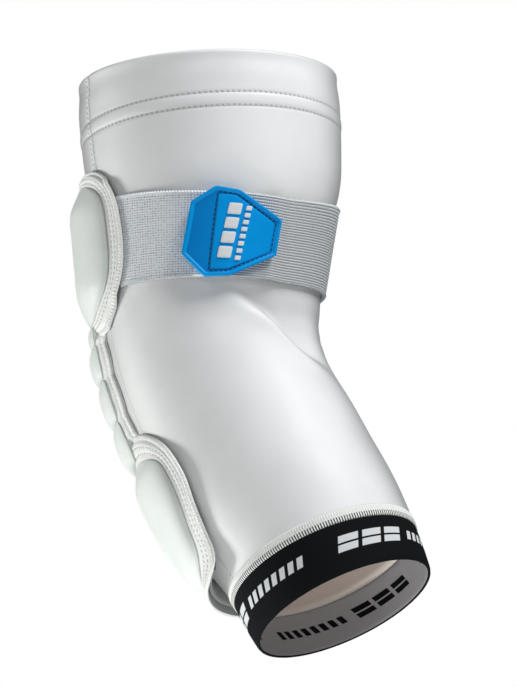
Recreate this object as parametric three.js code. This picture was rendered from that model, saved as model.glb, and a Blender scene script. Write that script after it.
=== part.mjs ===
// Padded sleeve for a bent arm: a knit tube with a hem and a cuff, pads down its elbow side,
// and an elastic strap with a pull tab round the upper arm.
// Every layer lies on one curved tube. A place on it has three values: along, in mm down the
// centreline from the top rim; angle, in degrees round the arm from the middle of the elbow
// side; and height, in mm out from the sleeve's outer face.
// +Z points up the upper arm, the forearm bends towards +X, and the origin is the centre of
// the strap's ring.
import * as THREE from 'three';

// Sleeve
const sleeveLength = 257;
const sleeveHalfWidth = 57;
const sleeveHalfDepth = 57;
const sleeveWall = 1.5;
const sleeveStep = 11;
const panelStep = 10.2;
const seamAngle = 37;
const seamGap = 0.3;

// Hem and cuff
const hemDepth = 28;
const hemWall = 1.2;
const hemRoll = 0.8;
const hemRollReach = 4;
const hemStitchBand = 6;
const hemRidge = 0.6;
const cuffDepth = 21.5;
const cuffWall = 1.6;

// Strap and pull tab
const strapCentre = 82;
const strapWidth = 40;
const strapWall = 1.5;
const landingEndAngle = 129;
const freeEndAngle = 99;
const freeEndRamp = 12;
const strapClimb = 5;
const tabReach = 38;
const tabOverhang = 0.8;
const tabAngle = 113;
const tabWall = 2.4;
const tabRimWidth = 3.2;
const tabRimHeight = 0.8;

// Pads: where they start along the sleeve, their lengths, and their widths round the arm
const padStart = 43.5;
const upperPadLength = 71;
const upperPadWidth = 105;
const elbowPadLength = 34.5;
const elbowPadWidth = 55;
const forearmPadLength = 79;
const forearmPadWidth = 97;
const padScallop = 1.6;
const backingWall = 1.3;
const backingInset = 5;
const rowStep = 9;
const columnStep = 7.6;
const borderWall = 1.5;
const borderRound = 0.6;
const domeWall = 0.9;
const upperDomeHeight = 6.2;
const forearmDomeHeight = 6;
const elbowLobeHeight = 5.2;
const lobeTaper = 0.14;
const standOff = 5.5;
const standOffLength = 27;

// Gaps between layers, and between pieces that meet edge to edge
const layerGap = 0.5;
const strapGap = 0.3;
const hemGap = 0.45;
const edgeGap = 0.3;

// Sections of the tube. Share is of the sleeve's length, lean and drift are the centreline's
// tilt in degrees towards +X and -Y, width and depth are shares of the sleeve's half sizes
const sections = [
  { share: 0.00, lean: 2.0, drift: -4.0, width: 1.000, depth: 1.007 },
  { share: 0.08, lean: 3.5, drift: -1.2, width: 1.018, depth: 1.000 },
  { share: 0.16, lean: 2.8, drift: -2.0, width: 0.998, depth: 0.975 },
  { share: 0.24, lean: -3.0, drift: -3.0, width: 0.940, depth: 0.937 },
  { share: 0.32, lean: -2.2, drift: -1.5, width: 0.895, depth: 0.898 },
  { share: 0.40, lean: 0.0, drift: 0.0, width: 0.849, depth: 0.860 },
  { share: 0.50, lean: 15.0, drift: 1.0, width: 0.814, depth: 0.830 },
  { share: 0.60, lean: 26.0, drift: 2.5, width: 0.802, depth: 0.814 },
  { share: 0.70, lean: 30.0, drift: 5.0, width: 0.818, depth: 0.812 },
  { share: 0.80, lean: 35.0, drift: 7.5, width: 0.798, depth: 0.807 },
  { share: 0.90, lean: 26.0, drift: 9.0, width: 0.747, depth: 0.782 },
  { share: 1.00, lean: 26.0, drift: 7.0, width: 0.704, depth: 0.728 },
];

// Outlines of the pads. Share is of the pad's length, width is a share of the pad's width
const upperOutline = [
  { share: 0.00, width: 0.50 },
  { share: 0.03, width: 0.72 },
  { share: 0.10, width: 0.86 },
  { share: 0.24, width: 0.96 },
  { share: 0.40, width: 1.00 },
  { share: 0.60, width: 0.99 },
  { share: 0.78, width: 0.94 },
  { share: 0.92, width: 0.80 },
  { share: 1.00, width: 0.64 },
];
const forearmOutline = [
  { share: 0.00, width: 0.48 },
  { share: 0.04, width: 0.66 },
  { share: 0.12, width: 0.82 },
  { share: 0.24, width: 0.94 },
  { share: 0.40, width: 1.00 },
  { share: 0.56, width: 0.99 },
  { share: 0.72, width: 0.88 },
  { share: 0.86, width: 0.76 },
  { share: 0.95, width: 0.66 },
  { share: 1.00, width: 0.50 },
];

// Domes on the two large pads. Start and end are shares of the pad's length; the rows give the
// dome's own share, its width as a share of the pad's width, and its rise
const upperDome = {
  start: 0.12,
  end: 0.93,
  height: upperDomeHeight,
  rows: [
    { share: 0.00, width: 0.48, rise: 0.02 },
    { share: 0.05, width: 0.66, rise: 0.16 },
    { share: 0.14, width: 0.80, rise: 0.52 },
    { share: 0.25, width: 0.85, rise: 0.98 },
    { share: 0.45, width: 0.86, rise: 1.00 },
    { share: 0.66, width: 0.82, rise: 1.04 },
    { share: 0.84, width: 0.68, rise: 1.02 },
    { share: 0.94, width: 0.50, rise: 0.50 },
    { share: 1.00, width: 0.36, rise: 0.06 },
  ],
};
const forearmDome = {
  start: 0.13,
  end: 0.82,
  height: forearmDomeHeight,
  rows: [
    { share: 0.00, width: 0.46, rise: 0.06 },
    { share: 0.06, width: 0.66, rise: 0.42 },
    { share: 0.14, width: 0.78, rise: 0.86 },
    { share: 0.28, width: 0.84, rise: 0.98 },
    { share: 0.48, width: 0.84, rise: 1.00 },
    { share: 0.68, width: 0.77, rise: 1.00 },
    { share: 0.84, width: 0.64, rise: 0.86 },
    { share: 0.94, width: 0.47, rise: 0.40 },
    { share: 1.00, width: 0.30, rise: 0.05 },
  ],
};

// Lobes over the elbow. Start and end are shares of the elbow pad's length, width is a share of
// its width, and rise is a share of the lobes' height. The last one laps onto the forearm pad
const elbowLobes = [
  { start: -0.13, end: 0.04, width: 0.66, rise: 0.70 },
  { start: 0.04, end: 0.35, width: 0.80, rise: 0.94 },
  { start: 0.35, end: 0.77, width: 0.86, rise: 0.92 },
  { start: 0.77, end: 1.24, width: 0.78, rise: 1.00 },
];

// Corners of the pull tab: reach is a share of its reach round the arm, from the grip's edge,
// and drop is a share of half its height, downwards
const tabCorners = [
  { reach: 0.06, drop: -0.62 },
  { reach: 0.36, drop: -1.00 },
  { reach: 0.54, drop: -0.94 },
  { reach: 1.00, drop: -0.36 },
  { reach: 0.94, drop: 0.42 },
  { reach: 0.50, drop: 0.96 },
  { reach: 0.24, drop: 1.00 },
  { reach: 0.00, drop: 0.50 },
];

// Colours
const whiteKnit = new THREE.MeshStandardMaterial({ color: 0xeceef0, roughness: 0.7, metalness: 0 });
const whiteBorder = new THREE.MeshStandardMaterial({ color: 0xf1f3ef, roughness: 0.9, metalness: 0 });
const paleFoam = new THREE.MeshStandardMaterial({ color: 0xe1e6e2, roughness: 0.6, metalness: 0 });
const greyBacking = new THREE.MeshStandardMaterial({ color: 0x9fa3a2, roughness: 0.9, metalness: 0 });
const silverElastic = new THREE.MeshStandardMaterial({ color: 0xc6cad0, roughness: 0.8, metalness: 0 });
const blueRubber = new THREE.MeshStandardMaterial({ color: 0x0c84cc, roughness: 0.45, metalness: 0 });
const blackElastic = new THREE.MeshStandardMaterial({ color: 0x16181c, roughness: 0.8, metalness: 0 });

// Smooth value of a table's column at a share: a cubic through the rows, whose slope at each row
// is the slope between the rows on either side
function smooth(rows, column, share) {
  const last = rows.length - 1;
  let k = 0;
  while (k < last - 1 && share > rows[k + 1].share) k += 1;
  const slope = (i) => {
    const before = rows[Math.max(i - 1, 0)];
    const after = rows[Math.min(i + 1, last)];
    return (after[column] - before[column]) / (after.share - before.share);
  };
  const [a, b] = [rows[k], rows[k + 1]];
  const span = b.share - a.share;
  const u = THREE.MathUtils.clamp((share - a.share) / span, 0, 1);
  const hold = (1 + 2 * u) * (1 - u) ** 2 * a[column] + u * u * (3 - 2 * u) * b[column];
  return hold + u * (1 - u) * span * ((1 - u) * slope(k) - u * slope(k + 1));
}

// The centreline's direction, and the two directions across it
function directions(along) {
  const share = along / sleeveLength;
  const lean = THREE.MathUtils.degToRad(smooth(sections, 'lean', share));
  const drift = THREE.MathUtils.degToRad(smooth(sections, 'drift', share));
  const down = new THREE.Vector3(
    Math.sin(lean) * Math.cos(drift),
    -Math.sin(drift),
    -Math.cos(lean) * Math.cos(drift),
  );
  const back = new THREE.Vector3(-Math.cos(lean), 0, -Math.sin(lean));
  const side = new THREE.Vector3().crossVectors(back, down);
  return { down, back, side };
}

// Points of the centreline, one a millimetre, added up from its direction
function centreline() {
  const points = [new THREE.Vector3()];
  for (let along = 1; along <= Math.ceil(sleeveLength); along += 1) {
    points.push(points[along - 1].clone().add(directions(along - 0.5).down));
  }
  return points;
}
const centres = centreline();
function centreAt(along) {
  const k = THREE.MathUtils.clamp(Math.floor(along), 0, centres.length - 2);
  return centres[k].clone().lerp(centres[k + 1], along - k);
}
const origin = centreAt(strapCentre);

// Half sizes of the sleeve's section, and its mean radius
function halfSizes(along) {
  const share = along / sleeveLength;
  const width = sleeveHalfWidth * smooth(sections, 'width', share);
  const depth = sleeveHalfDepth * smooth(sections, 'depth', share);
  return { width, depth };
}
function radius(along) {
  const { width, depth } = halfSizes(along);
  return (width + depth) / 2;
}
function degreesFor(arc, along) {
  return THREE.MathUtils.radToDeg(arc / radius(along));
}

// The point at a place on the sleeve: on its ellipse, moved out along the ellipse's normal
function place(along, angle, height) {
  const { width, depth } = halfSizes(along);
  const { back, side } = directions(along);
  const cos = Math.cos(THREE.MathUtils.degToRad(angle));
  const sin = Math.sin(THREE.MathUtils.degToRad(angle));
  const normal = new THREE.Vector2(cos / width, sin / depth).normalize();
  return centreAt(along)
    .sub(origin)
    .addScaledVector(back, width * cos + height * normal.x)
    .addScaledVector(side, depth * sin + height * normal.y);
}

// Evenly spaced numbers, and the number of steps of about a given size
function spaced(from, to, steps) {
  return Array.from({ length: steps + 1 }, (_, k) => from + ((to - from) * k) / steps);
}
function stepsFor(span, step) {
  return Math.max(1, Math.round(span / step));
}

function mesh(name, positions, index, material) {
  const geometry = new THREE.BufferGeometry();
  geometry.setAttribute('position', new THREE.Float32BufferAttribute(positions, 3));
  geometry.setIndex(index);
  geometry.computeVertexNormals();
  const result = new THREE.Mesh(geometry, material);
  result.name = name;
  return result;
}

// A layer of the arm pad: an outer and an inner grid over rows along the sleeve and columns
// across it, joined round the edge. A ring joins its last column to its first. Shift moves a
// point along the sleeve by an amount that depends on its angle
function layer({ name, alongs, acrosses, angleAt, shift = () => 0, low, high, ring, material }) {
  const rows = alongs.length;
  const columns = acrosses.length;
  const positions = [];
  for (const height of [high, low]) {
    for (const along of alongs) {
      for (const across of acrosses) {
        const angle = angleAt(along, across);
        positions.push(...place(along + shift(angle), angle, height(along, across)).toArray());
      }
    }
  }
  const top = (i, j) => i * columns + (j % columns);
  const under = (i, j) => rows * columns + top(i, j);
  const index = [];
  const quad = (a, b, c, d) => index.push(a, b, c, a, c, d);
  const cells = ring ? columns : columns - 1;
  for (let i = 0; i < rows - 1; i += 1) {
    for (let j = 0; j < cells; j += 1) {
      quad(top(i, j), top(i + 1, j), top(i + 1, j + 1), top(i, j + 1));
      quad(under(i, j), under(i, j + 1), under(i + 1, j + 1), under(i + 1, j));
    }
  }
  for (let j = 0; j < cells; j += 1) {
    quad(top(0, j), top(0, j + 1), under(0, j + 1), under(0, j));
    quad(under(rows - 1, j), under(rows - 1, j + 1), top(rows - 1, j + 1), top(rows - 1, j));
  }
  for (let i = 0; i < rows - 1 && !ring; i += 1) {
    quad(top(i, 0), under(i, 0), under(i + 1, 0), top(i + 1, 0));
    const end = columns - 1;
    quad(top(i + 1, end), under(i + 1, end), under(i, end), top(i, end));
  }
  return mesh(name, positions, index, material);
}

// Where the pieces start and end along the sleeve
const cuffStart = sleeveLength - cuffDepth;
const elbowStart = padStart + upperPadLength + edgeGap;
const elbowEnd = elbowStart + elbowPadLength;
const forearmStart = elbowEnd + edgeGap;
const forearmEnd = forearmStart + forearmPadLength;
const strapTop = strapCentre - strapWidth / 2;
const strapBottom = strapCentre + strapWidth / 2;

// Sleeve panels: the hem's roll and the ridge between its stitch rows stand proud of the tube,
// each as a bell curve
const ridgeAt = hemDepth - hemStitchBand / 2;
function hemRelief(along) {
  const roll = hemRoll * Math.exp(-((along / hemRollReach) ** 2));
  const ridge = hemRidge * Math.exp(-(((along - ridgeAt) / (hemStitchBand / 2)) ** 2));
  return roll + ridge;
}
function sleeveRows() {
  const start = ridgeAt + hemStitchBand;
  const end = cuffStart - edgeGap;
  const roll = [0, 0.6 * hemRollReach, 1.7 * hemRollReach];
  const below = spaced(start, end, stepsFor(end - start, sleeveStep));
  return [...roll, ridgeAt - hemStitchBand, ridgeAt, ...below];
}
function sleevePanel(name, from, to) {
  return layer({
    name,
    alongs: sleeveRows(),
    acrosses: spaced(0, 1, stepsFor(to - from, panelStep)),
    angleAt: (along, across) => {
      const gap = degreesFor(seamGap / 2, along);
      return THREE.MathUtils.lerp(from + gap, to - gap, across);
    },
    low: () => -sleeveWall,
    high: (along) => hemRelief(along),
    material: whiteKnit,
  });
}

// Rings: the hem's turned-in layer inside the top, and the cuff after the sleeve's lower edge
function ringLayer(name, alongs, low, high, material) {
  const columns = stepsFor(360, panelStep);
  return layer({
    name,
    alongs,
    acrosses: spaced(0, 360, columns).slice(0, columns),
    angleAt: (along, across) => across,
    low,
    high,
    ring: true,
    material,
  });
}
function topHem() {
  const outside = -sleeveWall - hemGap;
  const alongs = spaced(0, hemDepth, 2);
  return ringLayer('top_hem', alongs, () => outside - hemWall, () => outside, whiteKnit);
}
function cuffBand() {
  const alongs = spaced(cuffStart, sleeveLength, 2);
  return ringLayer('cuff_band', alongs, () => -cuffWall, () => 0, blackElastic);
}

// Half the angle that a pad covers at a place along it
function padHalfAngle(pad, along) {
  const share = (along - pad.start) / (pad.end - pad.start);
  return degreesFor((pad.width / 2) * smooth(pad.outline, 'width', share), along);
}
const upperPad = {
  start: padStart,
  end: padStart + upperPadLength,
  width: upperPadWidth,
  outline: upperOutline,
};
const forearmPad = {
  start: forearmStart,
  end: forearmEnd,
  width: forearmPadWidth,
  outline: forearmOutline,
};
function elbowHalfAngle(along) {
  const share = (along - elbowStart) / elbowPadLength;
  const lobe = elbowLobes.find((row) => share < row.end) ?? elbowLobes.at(-1);
  const swell = Math.sin((Math.PI * (share - lobe.start)) / (lobe.end - lobe.start));
  return degreesFor(elbowPadWidth / 2 + padScallop * Math.max(0, swell), along);
}

// The forearm pad's lower end stands off the arm, along a parabola
function lift(along) {
  const start = forearmEnd - standOffLength;
  const share = Math.max(0, along - start) / standOffLength;
  return standOff * share * share;
}

// Borders: flat sewn plates under the domes, with rounded edges. Their first and last rows lie a
// small share of the length apart from the next, for the rounding
const edgeShare = 0.015;
const borderLow = Math.max(layerGap + backingWall, strapGap + strapWall) + layerGap;
const borderTop = borderLow + borderWall;
function borderColumns(width) {
  const inner = 1 - (2 * borderRound) / width;
  return [-1, ...spaced(-inner, inner, stepsFor(width, columnStep)), 1];
}
function border(name, alongs, angle, width) {
  const [first, last] = [alongs[0], alongs[alongs.length - 1]];
  const round = (along, across) => {
    const onEdge = Math.abs(across) === 1 || along === first || along === last;
    return onEdge ? borderRound : 0;
  };
  return layer({
    name,
    alongs,
    acrosses: borderColumns(width),
    angleAt: (along, across) => across * angle(along),
    low: (along) => borderLow + lift(along),
    high: (along, across) => borderTop + lift(along) - round(along, across),
    material: whiteBorder,
  });
}
function padBorder(name, pad) {
  const between = [edgeShare, 0.32, 0.5, 1 - edgeShare];
  const shares = [...pad.outline.map((row) => row.share), ...between].sort((a, b) => a - b);
  const alongs = shares.map((share) => THREE.MathUtils.lerp(pad.start, pad.end, share));
  return border(name, alongs, (along) => padHalfAngle(pad, along), pad.width);
}
function elbowBorder() {
  const shares = elbowLobes.flatMap((lobe) => spaced(lobe.start, lobe.end, 3).slice(0, 3));
  const inside = shares.filter((share) => share > edgeShare && share < 1 - edgeShare);
  const rows = [0, edgeShare, ...inside, 1 - edgeShare, 1];
  const alongs = rows.map((share) => elbowStart + share * elbowPadLength);
  return border('elbow_border', alongs, elbowHalfAngle, elbowPadWidth);
}

// Backings: the layer between the sleeve and the borders, set in from their edges
function backing(name, from, to, width, angle) {
  return layer({
    name,
    alongs: spaced(from, to, stepsFor(to - from, rowStep)),
    acrosses: spaced(-1, 1, stepsFor(width, columnStep)),
    angleAt: (along, across) => across * (angle(along) - degreesFor(backingInset, along)),
    low: (along) => layerGap + lift(along),
    high: (along) => layerGap + backingWall + lift(along),
    material: greyBacking,
  });
}
function padBacking(name, pad) {
  const angle = (along) => padHalfAngle(pad, along);
  return backing(name, pad.start + backingInset, pad.end - backingInset, pad.width, angle);
}
function elbowBacking() {
  const angle = (along) => degreesFor(elbowPadWidth / 2, along);
  return backing('elbow_backing', elbowStart, elbowEnd, elbowPadWidth, angle);
}

// Domes: crowned pads on the borders, steep at their edges. Their columns lie closer together
// towards the edges, and their rows are those of the table with some more between
const domeHalf = [0.165, 0.33, 0.5, 0.66, 0.82, 0.94, 1];
const domeColumns = [...domeHalf.map((across) => -across).reverse(), 0, ...domeHalf];
const domeShares = [0.1, 0.2, 0.35, 0.57, 0.76, 0.9];
const lobeColumns = [-1, -0.88, -0.5, -0.17, 0.17, 0.5, 0.88, 1];
const lobeShares = [0, 0.1, 0.35, 0.65, 0.9, 1];
function crown(across) {
  return Math.sqrt(Math.max(0, 1 - Math.abs(across) ** 3));
}
const domeLow = borderTop + layerGap;
function domeLayer({ name, from, to, shares, angleAt, height, columns }) {
  return layer({
    name,
    alongs: shares.map((share) => THREE.MathUtils.lerp(from, to, share)),
    acrosses: columns,
    angleAt: (along, across) => across * angleAt(along, (along - from) / (to - from)),
    low: (along) => domeLow + lift(along),
    high: (along, across) => {
      const rise = height((along - from) / (to - from));
      return domeLow + domeWall + lift(along) + rise * crown(across);
    },
    material: paleFoam,
  });
}
function padDome(name, pad, dome) {
  return domeLayer({
    name,
    from: THREE.MathUtils.lerp(pad.start, pad.end, dome.start),
    to: THREE.MathUtils.lerp(pad.start, pad.end, dome.end),
    shares: [...dome.rows.map((row) => row.share), ...domeShares].sort((a, b) => a - b),
    angleAt: (along, share) => degreesFor((pad.width / 2) * smooth(dome.rows, 'width', share), along),
    height: (share) => (dome.height - domeWall) * smooth(dome.rows, 'rise', share),
    columns: domeColumns,
  });
}
function elbowLobe(lobe, number) {
  const swell = (share) => Math.sqrt(Math.max(0, 1 - Math.abs(2 * share - 1) ** 2.6));
  const half = (elbowPadWidth / 2) * lobe.width;
  return domeLayer({
    name: `elbow_lobe_${number}`,
    from: elbowStart + lobe.start * elbowPadLength,
    to: elbowStart + lobe.end * elbowPadLength - edgeGap,
    shares: lobeShares,
    angleAt: (along, share) => {
      return degreesFor(half * (1 - lobeTaper + lobeTaper * swell(share)), along);
    },
    height: (share) => (elbowLobeHeight * lobe.rise - domeWall) * swell(share),
    columns: lobeColumns,
  });
}

// Strap: the landing layer starts at the near edge of the upper pad's backing; the free end
// comes round from the far edge and lies on the landing, under the pull tab. Its sewn ends are
// straight, and clear the backing at its widest
function strapStart() {
  const edges = spaced(strapTop - strapClimb, strapBottom, 8).map((along) => {
    return padHalfAngle(upperPad, along) - degreesFor(backingInset - edgeGap, along);
  });
  return Math.max(...edges);
}
const landingTop = strapGap + strapWall;
function freeEndHeight(angle) {
  const clear = landingEndAngle + 2;
  const share = THREE.MathUtils.clamp((clear + freeEndRamp - angle) / freeEndRamp, 0, 1);
  return strapGap + landingTop * share * share * (3 - 2 * share);
}
function strapShift(angle) {
  const share = THREE.MathUtils.smoothstep(angle, landingEndAngle, 360 - strapStart());
  return -strapClimb * share;
}
function strapLayer(name, acrosses, angleAt, low) {
  return layer({
    shift: strapShift,
    name,
    alongs: spaced(strapTop, strapBottom, 4),
    acrosses,
    angleAt,
    low: (along, across) => low(angleAt(along, across)),
    high: (along, across) => low(angleAt(along, across)) + strapWall,
    material: silverElastic,
  });
}
function strapLanding() {
  const angleAt = (along, across) => THREE.MathUtils.lerp(strapStart(), landingEndAngle, across);
  return strapLayer('strap_landing', spaced(0, 1, 10), angleAt, () => strapGap);
}
function strapFreeEnd() {
  const angleAt = (along, across) => THREE.MathUtils.lerp(freeEndAngle, 360 - strapStart(), across);
  return strapLayer('strap_free_end', spaced(0, 1, 26), angleAt, freeEndHeight);
}

// Pull tab: its outline in rings, from the middle of its underside out, over the raised rim and
// back in over the recessed face
const tabLow = freeEndHeight(tabAngle) + strapWall + strapGap;
function tabOutline(divisions) {
  const halfHeight = strapWidth / 2 + tabOverhang;
  const points = tabCorners.map(({ reach, drop }) => {
    return new THREE.Vector2((reach - 0.5) * tabReach, drop * halfHeight);
  });
  return points.flatMap((point, k) => {
    const next = points[(k + 1) % points.length];
    return spaced(0, 1, divisions).slice(0, divisions).map((share) => point.clone().lerp(next, share));
  });
}
function pullTab() {
  const outline = tabOutline(3);
  const rim = 1 - tabRimWidth / (tabReach / 2);
  const face = tabLow + tabWall;
  const rings = [
    { scale: 0.36, height: tabLow },
    { scale: 0.7, height: tabLow },
    { scale: 1, height: tabLow },
    { scale: 1, height: face + tabRimHeight },
    { scale: rim, height: face + tabRimHeight },
    { scale: rim - 0.02, height: face },
    { scale: 0.4, height: face },
  ];
  const at = (x, y, height) => {
    const along = strapCentre + y;
    return place(along, tabAngle + degreesFor(x, along), height).toArray();
  };
  const positions = rings.flatMap(({ scale, height }) => {
    return outline.flatMap((point) => at(point.x * scale, point.y * scale, height));
  });
  const count = outline.length;
  const under = rings.length * count;
  positions.push(...at(0, 0, tabLow), ...at(0, 0, face));
  const index = [];
  for (let k = 0; k < count; k += 1) {
    const next = (k + 1) % count;
    for (let ring = 0; ring < rings.length - 1; ring += 1) {
      const [a, b] = [ring * count, (ring + 1) * count];
      index.push(a + k, b + k, b + next, a + k, b + next, a + next);
    }
    const inner = (rings.length - 1) * count;
    index.push(under, k, next, under + 1, inner + next, inner + k);
  }
  return mesh('pull_tab', positions, index, blueRubber);
}

const group = new THREE.Group();
group.add(
  sleevePanel('sleeve_panel', seamAngle, 360 - seamAngle),
  sleevePanel('back_panel', -seamAngle, seamAngle),
  topHem(),
  cuffBand(),
  padBacking('upper_backing', upperPad),
  elbowBacking(),
  padBacking('forearm_backing', forearmPad),
  padBorder('upper_border', upperPad),
  elbowBorder(),
  padBorder('forearm_border', forearmPad),
  padDome('upper_dome', upperPad, upperDome),
  ...elbowLobes.map((lobe, k) => elbowLobe(lobe, k + 1)),
  padDome('forearm_dome', forearmPad, forearmDome),
  strapLanding(),
  strapFreeEnd(),
  pullTab(),
);

export default group;
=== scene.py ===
"""Padded arm sleeve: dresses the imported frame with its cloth, pads, strap, tab and stitching."""
import math

import bpy
import numpy as np
from bpy.props import FloatProperty, FloatVectorProperty, IntProperty, PointerProperty
from mathutils import Matrix


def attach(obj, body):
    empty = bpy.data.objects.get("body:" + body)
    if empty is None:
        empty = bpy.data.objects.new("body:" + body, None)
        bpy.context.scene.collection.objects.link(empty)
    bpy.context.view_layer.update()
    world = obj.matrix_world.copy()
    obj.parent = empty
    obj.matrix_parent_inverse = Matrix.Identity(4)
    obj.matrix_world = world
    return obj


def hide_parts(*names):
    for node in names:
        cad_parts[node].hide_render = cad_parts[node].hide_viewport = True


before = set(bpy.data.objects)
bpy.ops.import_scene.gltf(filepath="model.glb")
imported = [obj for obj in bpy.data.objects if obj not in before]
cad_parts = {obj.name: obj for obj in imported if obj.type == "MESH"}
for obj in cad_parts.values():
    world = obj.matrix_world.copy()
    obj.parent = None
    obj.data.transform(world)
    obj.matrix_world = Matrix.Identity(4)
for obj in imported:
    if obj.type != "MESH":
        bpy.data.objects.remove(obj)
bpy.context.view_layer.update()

bl_info = {
    "name": "Padded arm sleeve",
    "version": (1, 0, 0),
    "blender": (4, 5, 0),
    "location": "View3D > Sidebar > Arm sleeve",
    "description": "Knit sleeve with pads down its elbow side, a strap with a pull tab, and a cuff",
    "category": "Object",
}

MM = 0.001

# Sizes of the sleeve and what lies on it, in millimetres, as the frame has them. Along is down
# the centreline from the top rim, an angle is round the arm from the middle of the elbow side,
# and height is out from the sleeve's outer face
SLEEVE_LENGTH, SLEEVE_HALF = 257.0, 57.0
SLEEVE_WALL, SEAM_ANGLE, SEAM_GAP = 1.5, 37.0, 0.06
HEM_DEPTH, HEM_WALL, HEM_GAP, HEM_BAND = 28.0, 1.2, 0.45, 6.0
HEM_ROWS = (HEM_DEPTH - HEM_BAND, HEM_DEPTH)
CUFF_DEPTH, CUFF_WALL = 21.5, 1.6
STRAP_CENTRE, STRAP_WIDTH, STRAP_WALL, STRAP_GAP = 82.0, 40.0, 1.5, 0.3
STRAP_HALF = STRAP_WIDTH / 2
STRAP_TOP, STRAP_BOTTOM = STRAP_CENTRE - STRAP_HALF, STRAP_CENTRE + STRAP_HALF
LANDING_END, FREE_END, FREE_RAMP = 129.0, 99.0, 12.0
STRAP_CLIMB, CLIMB_END, END_SLANT = 5.0, 205.0, 3.4
BEAD_PITCH, LOOP_CELL = 1.3, (1.25, 1.12)
TAB_REACH, TAB_ANGLE, TAB_OVERHANG = 38.0, 113.0, 0.8
TAB_WALL, TAB_RIM_WIDTH, TAB_RIM_HEIGHT = 2.4, 3.2, 0.8
RIM_SHARE, PANEL_RISE, TAB_CORNER, PANEL_CORNER = 0.45, 0.36, 0.9, 0.7
PAD_START, UPPER_LENGTH, UPPER_WIDTH = 43.5, 71.0, 105.0
ELBOW_LENGTH, ELBOW_OUTER_LENGTH, ELBOW_WIDTH = 34.5, 53.0, 55.0
FOREARM_LENGTH, FOREARM_WIDTH = 79.0, 97.0
ELBOW_BORDER_WIDTH, ELBOW_TUCK, SCALLOP = 46.5, 3.5, 1.9
BACKING_WALL, BACKING_INSET, FELT_ROWS = 1.3, 5.0, 48
BORDER_WALL, DOME_WALL, LAYER_GAP, EDGE_GAP = 1.5, 0.9, 0.5, 0.3
UPPER_RISE, FOREARM_RISE, LOBE_RISE, LOBE_TAPER = 6.2, 6.0, 5.2, 0.14
STAND_OFF, STAND_OFF_LENGTH = 5.5, 27.0

# Sections of the tube: share of the length, lean and drift in degrees, width and depth shares
SECTIONS = np.array([
    (0.00, 2.0, -4.0, 1.000, 1.007),
    (0.08, 3.5, -1.2, 1.018, 1.000),
    (0.16, 2.8, -2.0, 0.998, 0.975),
    (0.24, -3.0, -3.0, 0.940, 0.937),
    (0.32, -2.2, -1.5, 0.895, 0.898),
    (0.40, 0.0, 0.0, 0.849, 0.860),
    (0.50, 15.0, 1.0, 0.814, 0.830),
    (0.60, 26.0, 2.5, 0.802, 0.814),
    (0.70, 30.0, 5.0, 0.818, 0.812),
    (0.80, 35.0, 7.5, 0.798, 0.807),
    (0.90, 26.0, 9.0, 0.747, 0.782),
    (1.00, 26.0, 7.0, 0.704, 0.728),
])

# Outlines of the pads: share of the pad's length, half width as a share of its half width
UPPER_OUTLINE = np.array([
    (0.00, 0.50), (0.03, 0.72), (0.10, 0.86), (0.24, 0.96), (0.40, 1.00),
    (0.60, 0.99), (0.78, 0.915), (0.92, 0.765), (1.00, 0.60),
])
FOREARM_OUTLINE = np.array([
    (0.00, 0.48), (0.04, 0.66), (0.12, 0.82), (0.24, 0.93), (0.40, 0.955),
    (0.56, 0.88), (0.72, 0.79), (0.86, 0.73), (0.95, 0.655), (1.00, 0.50),
])

# Domes: share of the dome's length, half width as a share of the pad's, rise
UPPER_DOME = np.array([
    (0.00, 0.48, 0.04), (0.05, 0.66, 0.24), (0.14, 0.79, 0.72), (0.25, 0.835, 1.14),
    (0.45, 0.845, 1.10), (0.66, 0.825, 1.08), (0.84, 0.745, 1.04), (0.94, 0.60, 0.56),
    (1.00, 0.42, 0.06),
])
FOREARM_DOME = np.array([
    (0.00, 0.46, 0.06), (0.06, 0.65, 0.42), (0.14, 0.765, 0.86), (0.28, 0.805, 0.98),
    (0.48, 0.78, 1.02), (0.68, 0.68, 1.02), (0.84, 0.58, 0.88), (0.94, 0.45, 0.40),
    (1.00, 0.30, 0.05),
])

# Lobes over the elbow: start and end as shares of the elbow pad's length, width and rise shares
LOBES = [
    (-0.13, 0.04, 0.62, 0.70), (0.04, 0.35, 0.73, 0.94), (0.35, 0.77, 0.745, 0.92), (0.77, 1.24, 0.73, 1.00),
]

# Corners of the tab and of its stitched panel: reach from the grip's edge, drop from the middle
TAB_CORNERS = np.array([
    (0.065, -0.68), (0.30, -1.02), (0.55, -0.97), (1.02, -0.42),
    (0.975, 0.40), (0.50, 0.96), (0.24, 1.00), (0.00, 0.50),
])
TAB_PANEL = np.array([
    (0.335, -0.86), (0.51, -0.86), (0.94, -0.32), (0.90, 0.35), (0.47, 0.82), (0.29, 0.84),
])

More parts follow.
